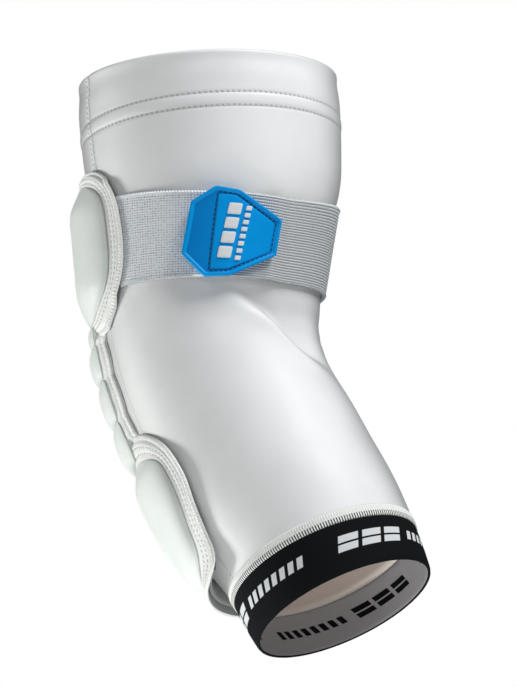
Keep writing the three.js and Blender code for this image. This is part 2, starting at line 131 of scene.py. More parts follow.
# Rings of a pad's border, from its sewn edge to its middle: distance from the edge in mm, share
# of the way on to the dome's edge, share of the way on to the middle, and height off the face
BORDER_RINGS = [
    (0.00, 0.00, 0.0, -0.80), (0.12, 0.00, 0.0, -0.30), (0.45, 0.00, 0.0, 0.08), (0.90, 0.00, 0.0, 0.24),
    (1.35, 0.00, 0.0, 0.16), (1.75, 0.00, 0.0, -0.16), (2.05, 0.00, 0.0, -0.48), (2.50, 0.00, 0.0, -0.10),
    (2.50, 0.10, 0.0, 0.10), (2.50, 0.20, 0.0, 0.00), (2.50, 0.26, 0.0, -0.26), (2.50, 0.32, 0.0, 0.00),
    (2.50, 0.44, 0.0, 0.16), (2.50, 0.56, 0.0, 0.00), (2.50, 0.62, 0.0, -0.26), (2.50, 0.68, 0.0, 0.08),
    (2.50, 0.78, 0.0, 0.30), (2.50, 0.87, 0.0, 0.36), (2.50, 0.94, 0.0, 0.20), (2.50, 1.00, 0.0, 0.05),
    (2.50, 1.00, 0.08, 0.02), (2.50, 1.00, 0.4, 0.0), (2.50, 1.00, 0.8, 0.0),
]
# Rings that the stitches follow, that the overcast edge has, and that the underside repeats
STITCH_RINGS = (10, 14)
OVERCAST_RINGS = slice(1, 6)
UNDER_RINGS = [1, 3, 6, 9, 12, 16, 20, 21, 22]
OUTLINE_POINTS, BORDER_CORNER, DOME_CORNER = 900, 1.6, 1.2
OVERCAST_PITCH, SKIRT_SPAN = 1.5, (0.6, 4.6)

# Lower edge of the hollow under the strap: angle, and along the sleeve in mm
HOLLOW_LINE = np.array([
    (80, 104), (100, 105), (116, 108), (126, 113), (137, 121),
    (143, 130), (149, 140), (160, 150), (175, 157), (200, 160),
], float)
HOLLOW_DEPTH = 4.6

# Stitches: length, width and height of one in mm, and the pitch where the sidebar doesn't set it
HEM_STITCH, SEAM_STITCH = (1.45, 0.5, 0.42), (1.5, 0.45, 0.4)
BORDER_STITCH, TAB_STITCH = (1.3, 0.46, 0.42), (1.45, 0.6, 0.42)
BORDER_STITCH_PITCH, TAB_STITCH_PITCH = 2.3, 2.1
SEAM_STITCHED = (1.8, 60)


# Curved tube

def smooth(xs, ys, x):
    """Cubic through the points (xs, ys), whose slope at each is the slope between its neighbours."""
    count = np.arange(len(xs))
    before, after = np.maximum(count - 1, 0), np.minimum(count + 1, len(xs) - 1)
    slope = (ys[after] - ys[before]) / (xs[after] - xs[before])
    k = np.clip(np.searchsorted(xs, x) - 1, 0, len(xs) - 2)
    span = xs[k + 1] - xs[k]
    u = np.clip((x - xs[k]) / span, 0, 1)
    hold = (1 + 2 * u) * (1 - u) ** 2 * ys[k] + u * u * (3 - 2 * u) * ys[k + 1]
    return hold + u * (1 - u) * span * ((1 - u) * slope[k] - u * slope[k + 1])


def step(x, low, high):
    """0 below low, 1 above high, and 3u^2 - 2u^3 between them."""
    u = np.clip((x - low) / (high - low), 0, 1)
    return u * u * (3 - 2 * u)


def bell(x, middle, width):
    """exp(-((x - middle) / width)^2)."""
    return np.exp(-(((x - middle) / width) ** 2))


def directions(along):
    """Unit vectors down the centreline, towards the elbow side, and towards the near side."""
    share = along / SLEEVE_LENGTH
    lean = np.radians(smooth(SECTIONS[:, 0], SECTIONS[:, 1], share))
    drift = np.radians(smooth(SECTIONS[:, 0], SECTIONS[:, 2], share))
    down = np.stack([np.sin(lean) * np.cos(drift), -np.sin(drift), -np.cos(lean) * np.cos(drift)], -1)
    back = np.stack([-np.cos(lean), 0 * lean, -np.sin(lean)], -1)
    return down, back, np.cross(back, down)


CENTRES = np.vstack([np.zeros(3), np.cumsum(directions(np.arange(math.ceil(SLEEVE_LENGTH)) + 0.5)[0], 0)])


def centre_at(along):
    """The centreline's point: one is added up for each millimetre, with straight lines between."""
    k = np.clip(np.floor(along).astype(int), 0, len(CENTRES) - 2)
    return CENTRES[k] + (CENTRES[k + 1] - CENTRES[k]) * (along - k)[..., None]


ORIGIN = centre_at(np.array(STRAP_CENTRE))


def half_sizes(along):
    """Half sizes of the tube's ellipse."""
    share = along / SLEEVE_LENGTH
    return [SLEEVE_HALF * smooth(SECTIONS[:, 0], SECTIONS[:, k], share) for k in (3, 4)]


def radius(along):
    """The mean of the ellipse's two half sizes."""
    return sum(half_sizes(np.asarray(along, float))) / 2


def degrees_for(arc, along):
    """The angle of an arc in mm on the tube's mean circle."""
    return np.degrees(arc / radius(along))


def place(along, angle, height):
    """The point on the tube's ellipse at an angle, moved out along the ellipse's normal."""
    along, angle, height = np.broadcast_arrays(*(np.asarray(x, float) for x in (along, angle, height)))
    width, depth = half_sizes(along)
    _, back, side = directions(along)
    cos, sin = np.cos(np.radians(angle)), np.sin(np.radians(angle))
    long = np.hypot(cos / width, sin / depth)
    out = width * cos + height * cos / width / long, depth * sin + height * sin / depth / long
    return centre_at(along) - ORIGIN + back * out[0][..., None] + side * out[1][..., None]


# Where the pieces start and end along the sleeve, and how high they lie
CUFF_START = SLEEVE_LENGTH - CUFF_DEPTH
ELBOW_START = PAD_START + UPPER_LENGTH + EDGE_GAP
FOREARM_START = ELBOW_START + ELBOW_LENGTH + EDGE_GAP
FOREARM_END = FOREARM_START + FOREARM_LENGTH
BORDER_LOW = max(LAYER_GAP + BACKING_WALL, STRAP_GAP + STRAP_WALL) + LAYER_GAP
BORDER_TOP = BORDER_LOW + BORDER_WALL
DOME_LOW = BORDER_TOP + LAYER_GAP
TAB_LOW = STRAP_GAP * 2 + STRAP_WALL * 2 + STRAP_GAP
UPPER_PAD = (PAD_START, UPPER_LENGTH, UPPER_WIDTH, UPPER_OUTLINE)
FOREARM_PAD = (FOREARM_START, FOREARM_LENGTH, FOREARM_WIDTH, FOREARM_OUTLINE)

# Where each dome starts and ends, as shares of its pad's length, and its rows
UPPER_DOME_SPAN = (0.12, 0.93, UPPER_DOME)
FOREARM_DOME_SPAN = (0.13, 0.82, FOREARM_DOME)


def lift(along):
    """How far the forearm pad's lower end stands off: a parabola."""
    return STAND_OFF * (np.maximum(0, along - FOREARM_END + STAND_OFF_LENGTH) / STAND_OFF_LENGTH) ** 2


def pad_half_angle(pad, along):
    """Half the angle that a pad spans: its half width there on the mean circle."""
    start, length, width, outline = pad
    return degrees_for(width / 2 * smooth(outline[:, 0], outline[:, 1], (along - start) / length), along)


def strap_start():
    """The angle where the strap comes out of the upper pad."""
    along = np.linspace(STRAP_TOP - STRAP_CLIMB, STRAP_BOTTOM, 9)
    return float(np.max(pad_half_angle(UPPER_PAD, along) - degrees_for(BACKING_INSET - EDGE_GAP, along)))


STRAP_START = strap_start()


def strap_shift(angle):
    """The strap climbs a little on its way round the far side."""
    return -STRAP_CLIMB * step(angle, LANDING_END, CLIMB_END)


def free_height(angle):
    """Underside of the strap's free end: on the landing near its end, then down to the sleeve."""
    share = np.clip((LANDING_END + 2 + FREE_RAMP - angle) / FREE_RAMP, 0, 1)
    return STRAP_GAP + (STRAP_GAP + STRAP_WALL) * share * share * (3 - 2 * share)


# Meshes

def surface(name, points, u, v, looks, materials, wrap_rows=False, wrap_columns=False, cap="", poles=False):
    """A mesh over a grid of points (rows, columns, 3), in mm. A wrapped grid joins its last row or
    column to its first. u and v, in mm, have one more row or column where it wraps. A cap closes
    the two ends of a tube whose section runs along the rows, as one face or as a strip, and poles
    close the first and last rows of rings. Faces are turned so that the volume is positive."""
    rows, columns = points.shape[:2]
    row, column = rows - (not wrap_rows), columns - (not wrap_columns)
    i, j = np.meshgrid(np.arange(row), np.arange(column), indexing="ij")
    corners = [(i, j), (i + 1, j), (i + 1, j + 1), (i, j + 1)]
    u, v = np.broadcast_to(u, (row + 1, column + 1)), np.broadcast_to(v, (row + 1, column + 1))
    faces = [np.stack([(a % rows) * columns + b % columns for a, b in corners], -1).reshape(-1, 4)]
    maps = [np.stack([np.stack([u[a, b], v[a, b]], -1) for a, b in corners], -2).reshape(-1, 4, 2)]
    looked = [np.broadcast_to(np.asarray(looks)[:, None], (row, column)).ravel()]
    points = points.reshape(-1, 3)
    flat_uv = np.stack([u[:rows, :columns], v[:rows, :columns]], -1).reshape(-1, 2)
    grid = np.arange(rows * columns).reshape(rows, columns)
    for end, turn in ((0, 1), (columns - 1, -1)) if cap else ():
        if cap == "one":
            ends = [grid[::turn, end][None]]
        else:
            k = np.arange(rows // 2 - 1)
            pairs = [grid[k, end], grid[k + 1, end], grid[-k - 2, end], grid[-k - 1, end]]
            ends = [np.stack(pairs, -1)[:, ::turn]]
        faces += ends
        maps += [flat_uv[x] for x in ends]
        looked += [np.full(len(x), looks[0]) for x in ends]
    if poles:
        for ring, turn in ((grid[0], 1), (grid[-1], -1)):
            pole = np.full(columns, len(points))
            points = np.vstack([points, points[ring].mean(0)])
            flat_uv = np.vstack([flat_uv, flat_uv[ring].mean(0)])
            fan = np.stack([ring, np.roll(ring, -1), pole], -1)[:, ::turn]
            faces.append(fan)
            maps.append(flat_uv[fan])
            looked.append(np.full(columns, looks[0 if turn == 1 else -1]))
    volume = sum(
        np.einsum("ij,ij->", points[f[:, 0]], np.cross(points[f[:, k]], points[f[:, k + 1]]))
        for f in faces for k in range(1, f.shape[1] - 1)
    )
    if volume < 0:
        faces, maps = [f[:, ::-1] for f in faces], [m[:, ::-1] for m in maps]
    sizes = np.concatenate([np.full(len(f), f.shape[1]) for f in faces])
    mesh = bpy.data.meshes.new(name)
    mesh.vertices.add(len(points))
    mesh.vertices.foreach_set("co", (points * MM).astype(np.float32).ravel())
    mesh.loops.add(int(sizes.sum()))
    mesh.loops.foreach_set("vertex_index", np.concatenate([f.ravel() for f in faces]).astype(np.int32))
    mesh.polygons.add(len(sizes))
    mesh.polygons.foreach_set("loop_start", np.concatenate([[0], np.cumsum(sizes)[:-1]]).astype(np.int32))
    mesh.polygons.foreach_set("material_index", np.concatenate(looked).astype(np.int32))
    layer = mesh.uv_layers.new(name="cloth")
    layer.uv.foreach_set("vector", np.concatenate([m.reshape(-1) for m in maps]).astype(np.float32))
    mesh.update(calc_edges=True)
    mesh.shade_smooth()
    piece = bpy.data.objects.new(name, mesh)
    bpy.context.scene.collection.objects.link(piece)
    for look in materials:
        mesh.materials.append(look)
    return piece


def plate(name, along, angle, top, under, materials, u, v):
    """A closed plate on the tube over rows along it and columns round it, with a top and an
    underside height at each."""
    upper, lower = place(along, angle, top), place(along, angle, under)
    looks = [0] * len(upper) + [1] * (len(lower) - 1) + [0]
    u, v = (np.vstack([x, x[::-1], x[:1]]) for x in (u, v))
    points = np.vstack([upper, lower[::-1]])
    return surface(name, points, u, v, looks, materials, wrap_rows=True, cap="strip")


def resample(points, count):
    """Evenly spaced points round a closed outline, with the length of the run to each."""
    closed = np.vstack([points, points[:1]])
    run = np.concatenate([[0], np.cumsum(np.linalg.norm(np.diff(closed, axis=0), axis=1))])
    at = np.linspace(0, run[-1], count + 1)
    return np.stack([np.interp(at[:-1], run, closed[:, k]) for k in range(closed.shape[1])], 1), at


def rounded(points, count, reach):
    """The outline resampled, with its corners rounded by a bell-shaped mean over the given reach."""
    even, at = resample(points, count)
    gap = at[-1] / count
    k = np.arange(count)
    near = np.exp(-((np.minimum(k, count - k) * gap / reach) ** 2))
    blurred = np.fft.ifft(np.fft.fft(even, axis=0) * np.fft.fft(near / near.sum())[:, None], axis=0).real
    return resample(blurred, count)


def met_by_rays(centre, outline, towards):
    """Where rays from the centre towards the given points meet an outline round the centre."""
    polar = np.arctan2(*(outline - centre).T[::-1])
    order = np.argsort(polar)
    reach = np.linalg.norm(outline - centre, axis=1)[order]
    rays = towards - centre
    aim = np.arctan2(*rays.T[::-1])
    long = np.interp(aim, polar[order], reach, period=2 * np.pi)
    return centre + rays / np.linalg.norm(rays, axis=1)[:, None] * long[:, None]


def flat_outline(start, length, half_width, shares):
    """Outline in the flat: half widths at shares of the length, mirrored, with straight ends."""
    along = start + length * shares
    right = np.stack([half_width, along], 1)
    across = np.linspace(1, -1, 42)[1:-1, None] * [1, 0]
    bottom = across * right[-1] + [0, along[-1]]
    top = -across * right[0] + [0, along[0]]
    return np.vstack([right, bottom, (right * [-1, 1])[::-1], top])


def spaced_on(path, ups, pitch, closed):
    """Places a pitch apart on a path: points, directions along it and ups."""
    if closed:
        path, ups = np.vstack([path, path[:1]]), np.vstack([ups, ups[:1]])
    run = np.concatenate([[0], np.cumsum(np.linalg.norm(np.diff(path, axis=0), axis=1))])
    count = max(2, round(run[-1] / pitch))
    at = (np.arange(count) + 0.5) * run[-1] / count

    def on(values, x):
        """The values at runs x, on straight lines between the path's points."""
        return np.stack([np.interp(x, run, values[:, k]) for k in range(3)], 1)

    points = on(path, at)
    forward = on(path, at + 0.2) - on(path, at - 0.2)
    forward /= np.linalg.norm(forward, axis=1)[:, None]
    up = on(ups, at) - points
    up -= forward * np.einsum("ij,ij->i", forward, up)[:, None]
    return points, forward, up / np.linalg.norm(up, axis=1)[:, None]


def stitches(name, places, size, thread, slant=0.0):
    """Rows of thread stitches, each a small round-ended bar: rings of radius 0.6, 1, 1 and 0.6 at
    shares -0.85, -0.45, 0.45 and 0.85 of the half length, between two poles."""
    length, width, height = size
    turn = np.linspace(0, 2 * np.pi, 6, endpoint=False)
    stations = np.array([(-0.85, 0.6), (-0.45, 1.0), (0.45, 1.0), (0.85, 0.6)])[:, :, None, None]
    ring = np.stack([0 * turn, np.cos(turn), np.sin(turn)], 1)
    rings = ring[None] * stations[:, 1] + np.array([1, 0, 0]) * stations[:, 0]
    bar = np.vstack([[[-1, 0, 0]], rings.reshape(-1, 3), [[1, 0, 0]]]) * [length / 2, width / 2, height / 2]
    k = np.arange(6)
    after = (k + 1) % 6
    rows = [np.stack([k, after, 6 + after, 6 + k], 1) + 1 + 6 * r for r in range(3)]
    ends = [np.stack([0 * k, 1 + after, 1 + k], 1), np.stack([0 * k + 25, 19 + k, 19 + after], 1)]
    points, forward, up = (np.concatenate(x) for x in zip(*places))
    side = np.cross(up, forward)
    forward = forward * math.cos(slant) + side * math.sin(slant)
    side = np.cross(up, forward)
    where = points[:, None] + np.einsum("mk,nkc->nmc", bar, np.stack([forward, side, up], 1))
    start = (np.arange(len(points)) * len(bar))[:, None, None]
    quads = (start + np.concatenate(rows)[None]).reshape(-1, 4)
    triangles = (start + np.concatenate(ends)[None]).reshape(-1, 3)
    mesh = bpy.data.meshes.new(name)
    mesh.from_pydata((where.reshape(-1, 3) * MM).tolist(), [], quads.tolist() + triangles.tolist())
    mesh.shade_smooth()
    mesh.materials.append(thread)
    piece = bpy.data.objects.new(name, mesh)
    bpy.context.scene.collection.objects.link(piece)
    return piece


def swell(piece, held, sizes):
    """Blows a pad up with Cloth: pressure inside and no gravity, with the held points pinned. Each
    point then keeps its own move, shortened to the cap. The result stays in the mesh."""
    scene = bpy.context.scene
    count = len(piece.data.vertices)
    before, after = np.empty(count * 3, np.float32), np.empty(count * 3, np.float32)
    piece.data.vertices.foreach_get("co", before)
    pins = piece.vertex_groups.new(name="held")
    pins.add(held.tolist(), 1.0, "REPLACE")
    cloth = piece.modifiers.new("swell", "CLOTH")
    cloth.settings.quality = 6
    cloth.settings.mass = 0.15
    cloth.settings.tension_stiffness = cloth.settings.compression_stiffness = 20
    cloth.settings.bending_stiffness = 2
    cloth.settings.vertex_group_mass = "held"
    cloth.settings.use_pressure = True
    cloth.settings.uniform_pressure_force = sizes.pad_pressure
    cloth.settings.effector_weights.gravity = 0
    cloth.point_cache.frame_start, cloth.point_cache.frame_end = 1, sizes.pad_frames
    for number in range(1, sizes.pad_frames + 1):
        scene.frame_set(number)
    shaped = piece.evaluated_get(bpy.context.evaluated_depsgraph_get())
    shaped.data.vertices.foreach_get("co", after)
    piece.modifiers.remove(cloth)
    move = (after - before).reshape(-1, 3)
    long = np.linalg.norm(move, axis=1)
    cap = sizes.pad_swell
    move *= (cap * np.tanh(long / cap) / np.maximum(long, 1e-9))[:, None]
    piece.data.vertices.foreach_set("co", before + move.ravel())
    piece.data.update()
    scene.frame_set(1)


# Materials

class Graph:
    """Adds nodes to a tree and joins them."""

    def __init__(self, tree):
        self.tree = tree

    def node(self, kind, inputs=None, **settings):
        """A new node, with its inputs set to values or joined to other nodes' outputs."""
        made = self.tree.nodes.new("ShaderNode" + kind)
        for key, value in settings.items():
            setattr(made, key, value)
        for key, value in (inputs or {}).items():
            self.feed(made.inputs[key], value)
        return made

    def feed(self, socket, value):
        """Joins an output to the socket, or sets its value."""
        if isinstance(value, bpy.types.NodeSocket):
            self.tree.links.new(value, socket)
        else:
            socket.default_value = value

    def maths(self, operation, *values):
        """What one Math node puts out."""
        made = self.node("Math", operation=operation)
        for socket, value in zip(made.inputs, values):
            self.feed(socket, value)
        return made.outputs[0]

    def share(self, value, pitch):
        """How far the value is through its pitch, from 0 to 1."""
        return self.maths("FRACT", self.maths("DIVIDE", value, pitch))

    def off_middle(self, share):
        """How far a share is from one half."""
        return self.maths("ABSOLUTE", self.maths("SUBTRACT", share, 0.5))

    def wave(self, value, pitch):
        """The sine of the value, one wave a pitch."""
        return self.maths("SINE", self.maths("MULTIPLY", value, 2 * math.pi / pitch))

    def between(self, value, low, high, to_low=0.0, to_high=1.0):
        """A smooth step from one value to another."""
        made = self.node("MapRange", {
            "Value": value, "From Min": low, "From Max": high, "To Min": to_low, "To Max": to_high,
        }, interpolation_type="SMOOTHSTEP")
        return made.outputs[0]

    def mix(self, factor, a, b):
        """Two colours mixed."""
        made = self.node("Mix", data_type="RGBA")
        for number, value in ((0, factor), (6, a), (7, b)):
            self.feed(made.inputs[number], value)
        return made.outputs[2]

    def tint(self, factor, colour, low, high):
        """One colour between two of its shades."""
        return self.mix(factor, shade(colour, low), shade(colour, high))

    def cloth_map(self):
        """The piece's own map: millimetres round the arm and along it."""
        return self.node("UVMap", uv_map="cloth").outputs[0]

    def in_mm(self):
        """Object coordinates in millimetres."""
        made = self.node("VectorMath", operation="SCALE")
        self.feed(made.inputs[0], self.node("TexCoord").outputs["Object"])
        made.inputs["Scale"].default_value = 1000
        return made.outputs[0]

    def uv(self, vector):
        """The first two parts of a vector."""
        parts = self.node("SeparateXYZ", {"Vector": vector})
        return parts.outputs[0], parts.outputs[1]

    def group(self, tree, inputs, output):
        """What a node group puts out under one name."""
        return self.node("Group", inputs, node_tree=tree).outputs[output]


def effect(name, inputs, output):
    """A node group with named sockets: its tree and graph, and its input and output nodes' sockets.
    Inputs are values, apart from the first, a vector."""
    tree = bpy.data.node_groups.new(name, "ShaderNodeTree")
    for label in inputs:
        kind = "NodeSocketVector" if label == "Vector" else "NodeSocketFloat"
        tree.interface.new_socket(label, in_out="INPUT", socket_type=kind)
    for label in output:
        tree.interface.new_socket(label, in_out="OUTPUT", socket_type="NodeSocketFloat")
    given = tree.nodes.new("NodeGroupInput").outputs
    return tree, Graph(tree), given, tree.nodes.new("NodeGroupOutput").inputs


def grain_group():
    """Uneven tone and fine lint: two noises over object coordinates in mm."""
    tree, graph, given, put = effect("grain", ["Vector", "Size"], ["Tone", "Height"])
    vector = given["Vector"]
    wide = graph.node("TexNoise", {"Vector": vector, "Scale": 0.045, "Detail": 3.0, "Roughness": 0.55})
    scale = graph.maths("DIVIDE", 1.0, given["Size"])
    fine = graph.node("TexNoise", {"Vector": vector, "Scale": scale, "Detail": 2.0, "Roughness": 0.6})
    graph.feed(put["Tone"], graph.between(wide.outputs[0], 0.3, 0.7))
    graph.feed(put["Height"], fine.outputs[0])
    return tree


def loops_group():
    """Knit loops: columns of V shapes. With x = u / wale, y = v / course and l = |frac(x) - 1/2|,
    the height is (0.6 + 0.35 sin(2 pi (y + l))) (1 - 2.4 l^2), lower at the edges of a column."""
    tree, graph, given, put = effect("knit_loops", ["Vector", "Wale", "Course"], ["Height"])
    u, v = graph.uv(given["Vector"])
    lean = graph.off_middle(graph.share(u, given["Wale"]))
    turns = graph.maths("ADD", graph.maths("DIVIDE", v, given["Course"]), lean)
    height = graph.maths("MULTIPLY_ADD", graph.wave(turns, 1.0), 0.35, 0.6)
    fall = graph.maths("SUBTRACT", 1.0, graph.maths("MULTIPLY", graph.maths("MULTIPLY", lean, lean), 2.4))
    graph.feed(put["Height"], graph.maths("MULTIPLY", height, fall))
    return tree


def hole_shade_group():
    """Painted shade of needle holes in a row across v: dark spots a pitch apart, on a fainter line of painted
    shade along the row's groove.
    """
    tree, graph, given, put = effect("needle_hole_shade", ["Vector", "Row", "Pitch"], ["Mask"])
    u, v = graph.uv(given["Vector"])
    across = graph.maths("ABSOLUTE", graph.maths("SUBTRACT", v, given["Row"]))
    run = graph.share(u, given["Pitch"])
    near = graph.maths("MINIMUM", run, graph.maths("SUBTRACT", 1.0, run))
    in_run = graph.between(near, 0.12, 0.24, 1.0, 0.0)
    spot = graph.maths("MULTIPLY", in_run, graph.between(across, 0.3, 0.7, 1.0, 0.0))
    line = graph.maths("MULTIPLY", graph.between(across, 0.2, 0.9, 1.0, 0.0), 0.35)
    # Painted shade: the holes and the row's groove
    graph.feed(put["Mask"], graph.maths("MAXIMUM", spot, line))
    return tree


# Bars of the woven motif in each period, in mm: start, pitch, count, half width as a share of the
# pitch, half height, and whether a thin line cuts them in two
MOTIF_BARS = ((4.0, 10.8, 3, 0.41, 3.2, True), (39.8, 4.4, 8, 0.31, 2.1, False))


def blocks_group():
    """Woven motif: in each period a run of three long slanted bars, cut in two by a thin line, and
    a run of eight short ones."""
    tree, graph, given, put = effect("slanted_blocks", ["Vector", "Middle", "Period", "Shift"], ["Mask"])
    u, v = graph.uv(given["Vector"])
    off = graph.maths("SUBTRACT", v, given["Middle"])
    moved = graph.maths("ADD", graph.maths("MULTIPLY_ADD", off, 0.4, u), given["Shift"])
    run = graph.maths("MULTIPLY", graph.share(moved, given["Period"]), given["Period"])
    tall = graph.maths("ABSOLUTE", off)
    mask = 0.0
    for start, pitch, count, half, height, cut in MOTIF_BARS:
        place = graph.maths("DIVIDE", graph.maths("SUBTRACT", run, start), pitch)
        begun, going = graph.maths("GREATER_THAN", place, 0.0), graph.maths("LESS_THAN", place, count)
        near = graph.off_middle(graph.maths("FRACT", place))
        bar = graph.maths("MULTIPLY", graph.between(near, half - 0.02, half + 0.02, 1.0, 0.0),
                          graph.between(tall, height - 0.12, height + 0.12, 1.0, 0.0))
        bar = graph.maths("MULTIPLY", graph.maths("MULTIPLY", begun, going), bar)
        if cut:
            bar = graph.maths("MULTIPLY", bar, graph.between(tall, 0.3, 0.5))
        mask = graph.maths("MAXIMUM", mask, bar)
    graph.feed(put["Mask"], mask)
    return tree


def material(name, roughness, sheen=0.0, specular=0.4):
    """A new material with its graph and its shader."""
    made = bpy.data.materials.new(name)
    made.use_nodes = True
    made.node_tree.nodes.clear()
    graph = Graph(made.node_tree)
    shader = graph.node("BsdfPrincipled")
    shader.inputs["Roughness"].default_value = roughness
    shader.inputs["Sheen Weight"].default_value = sheen
    shader.inputs["Sheen Roughness"].default_value = 0.45
    shader.inputs["Specular IOR Level"].default_value = specular
    graph.node("OutputMaterial", {"Surface": shader.outputs[0]})
    return made, graph, shader


def shade(colour, share):
    """A colour scaled in brightness."""
    return (*(min(1.0, c * share) for c in colour[:3]), 1.0)


def bump(graph, shader, height, distance, strength):
    """Relief of a depth in mm."""
    made = graph.node("Bump", {"Height": height, "Distance": distance * MM, "Strength": strength})
    graph.feed(shader.inputs["Normal"], made.outputs[0])


# Finishes of one colour: roughness, sheen, specular, size of the grain in mm, what the tone
# follows, its two shades, and the relief's depth in mm and strength
PLAIN = {
    "felt": (0.9, 0.2, 0.2, 0.45, "Height", (0.8, 1.15), (0.25, 0.8)),
    "foam": (0.58, 0.1, 0.35, 0.38, "Tone", (0.98, 1.015), (0.05, 0.35)),
    "thread": (0.7, 0.2, 0.3, 0.3, "Height", (0.88, 1.08), (0.08, 0.6)),
    "rubber": (0.55, 0.0, 0.1, 0.25, "Tone", (0.95, 1.05), (0.03, 0.4)),
    "ink": (0.5, 0.0, 0.4, 0.3, "Height", (0.95, 1.1), (0.03, 0.4)),
}
# What the roughness of some follows, between which values, and its range
UNEVEN_GLOSS = {"foam": ("Tone", 0, 1, 0.54, 0.62), "rubber": ("Height", 0.3, 0.7, 0.38, 0.48)}


class Finishes:
    """Every material of the sleeve, made once from the scene's sizes and colours."""

    def __init__(self, sizes):
        self.grain, self.loops = grain_group(), loops_group()
        self.holes, self.blocks = hole_shade_group(), blocks_group()
        self.knit = self.knit_face("knit_outside", sizes.knit_colour, sizes, rows=True)
        self.knit_inside = self.knit_face("knit_inside", sizes.lining_colour, sizes)
        self.border = self.border_knit(sizes)
        # Grey felt, darkened as painted shade where it shows under the pads and the borders
        self.backing = self.plain("felt", "backing_felt_and_shade", sizes.backing_and_shade_colour)
        self.foam = self.plain("foam", "moulded_foam", sizes.foam_colour)
        self.ribs, self.landing = self.rib_elastic(sizes), self.loop_elastic(sizes)
        self.strap_back = self.plain("thread", "strap_underside", shade(sizes.strap_colour, 0.86))
        self.tab = self.plain("rubber", "tab_rubber", sizes.tab_colour)
        # The panel and the rim: lighter copies of the tab's rubber, painted highlight
        self.tab_panel = self.plain("rubber", "tab_panel_lit_rubber", sizes.tab_panel_lit_colour)
        self.tab_rim = self.plain("rubber", "tab_rim_lit_rubber", sizes.tab_rim_lit_colour)
        self.tab_mark = self.plain("ink", "tab_mark", sizes.motif_colour)
        self.cuff = self.cuff_face("cuff_outside", sizes.cuff_colour, sizes.motif_colour, sizes)
        self.cuff_inside = self.cuff_face("cuff_inside", sizes.cuff_lining_colour, sizes.cuff_colour, sizes)
        self.seam = self.flatlock(sizes)
        self.thread = self.plain("thread", "white_thread", shade(sizes.knit_colour, 0.98))
        # The border's and the hem's stitches: grey copies of their white, painted shade of the sunk stitches
        self.shaded_border_thread = self.plain("thread", "shaded_border_thread", shade(sizes.border_colour, 0.62))
        self.shaded_hem_thread = self.plain("thread", "shaded_hem_thread", shade(sizes.knit_colour, 0.72))
        self.tab_thread = self.plain("thread", "tab_thread", shade(sizes.tab_colour, 0.16))

    def lint(self, graph, size):
        """The grain's outputs, with fine lint of the given size in mm."""
        return graph.node("Group", {"Vector": graph.in_mm(), "Size": size}, node_tree=self.grain).outputs

    def plain(self, kind, name, colour):
        """A finish of one colour, whose tone, relief and gloss follow the grain."""
        roughness, sheen, specular, size, follows, tones, relief = PLAIN[kind]
        made, graph, shader = material(name, roughness, sheen, specular)
        lint = self.lint(graph, size)
        graph.feed(shader.inputs["Base Color"], graph.tint(lint[follows], colour, *tones))
        if kind in UNEVEN_GLOSS:
            follows, *span = UNEVEN_GLOSS[kind]
            graph.feed(shader.inputs["Roughness"], graph.between(lint[follows], *span))
        bump(graph, shader, lint["Height"], *relief)
        return made

    def knit_face(self, name, colour, sizes, rows=False):
        """Knit loops with a faint grain. The outer face has painted shade in the needle holes and grooves
        along the hem's two rows, and painted shade where it turns away from the view."""
        made, graph, shader = material(name, 0.5, sheen=0.04, specular=0.4)
        lint, place = self.lint(graph, 0.5), graph.cloth_map()
        wale = sizes.wale_pitch / MM
        loops = graph.group(self.loops, {"Vector": place, "Wale": wale, "Course": wale * 0.8}, "Height")
        base = graph.tint(lint["Tone"], colour, 0.975, 1.015)
        if rows:
            holes = {"Vector": place, "Pitch": sizes.stitch_pitch / MM}
            hole_shades = [graph.group(self.holes, {**holes, "Row": row}, "Mask") for row in HEM_ROWS]
            # Painted shade in the hem rows' needle holes and grooves
            base = graph.mix(graph.maths("MAXIMUM", *hole_shades), base, shade(colour, 0.5))
            # Painted shade towards the outline, where the face turns away from the view
            facing = graph.node("LayerWeight", {"Blend": 0.5}).outputs["Facing"]
            base = graph.mix(graph.between(facing, 0.36, 0.95, 0.0, 0.62), base, shade(colour, 0.2))
        graph.feed(shader.inputs["Base Color"], base)
        graph.feed(shader.inputs["Roughness"], graph.between(lint["Tone"], 0, 1, 0.47, 0.56))
        bump(graph, shader, graph.maths("MULTIPLY_ADD", lint["Height"], 0.5, loops), 0.06, 0.35)
        return made

    def border_knit(self, sizes):
        """Coarser knit, darker between its loops."""
        made, graph, shader = material("border_knit", 0.75, sheen=0.3, specular=0.3)
        lint = self.lint(graph, 0.7)
        loops = graph.group(self.loops, {"Vector": graph.cloth_map(), "Wale": 1.15, "Course": 0.95}, "Height")
        tone = graph.maths("MULTIPLY_ADD", lint["Height"], 0.5, graph.maths("MULTIPLY", loops, 0.5))
        base = graph.tint(graph.between(tone, 0.2, 0.6), sizes.border_colour, 0.9, 1.0)
        graph.feed(shader.inputs["Base Color"], base)
        bump(graph, shader, graph.maths("ADD", tone, loops), 0.14, 0.45)
        return made

    def rib_elastic(self, sizes):
        """Ribs along the strap, each of slanted threads, with painted highlights on the crests and painted
        shade in the grooves and along the threads; the sewn end is plain.
        """
        made, graph, shader = material("ribbed_elastic", 0.6, sheen=0.2, specular=0.45)
        u, v = graph.uv(graph.cloth_map())
        rib = graph.share(v, STRAP_WIDTH / sizes.rib_count)
        middle = graph.off_middle(rib)
        thread = graph.wave(graph.maths("MULTIPLY_ADD", rib, 0.7, u), 1.0)
        height = graph.maths("MULTIPLY_ADD", thread, 0.2, graph.between(middle, 0.5, 0.2))
        colour = sizes.strap_colour
        # Painted highlight on each rib's crest, painted shade in its grooves
        base = graph.tint(graph.between(middle, 0.3, 0.5), colour, 1.25, 0.34)
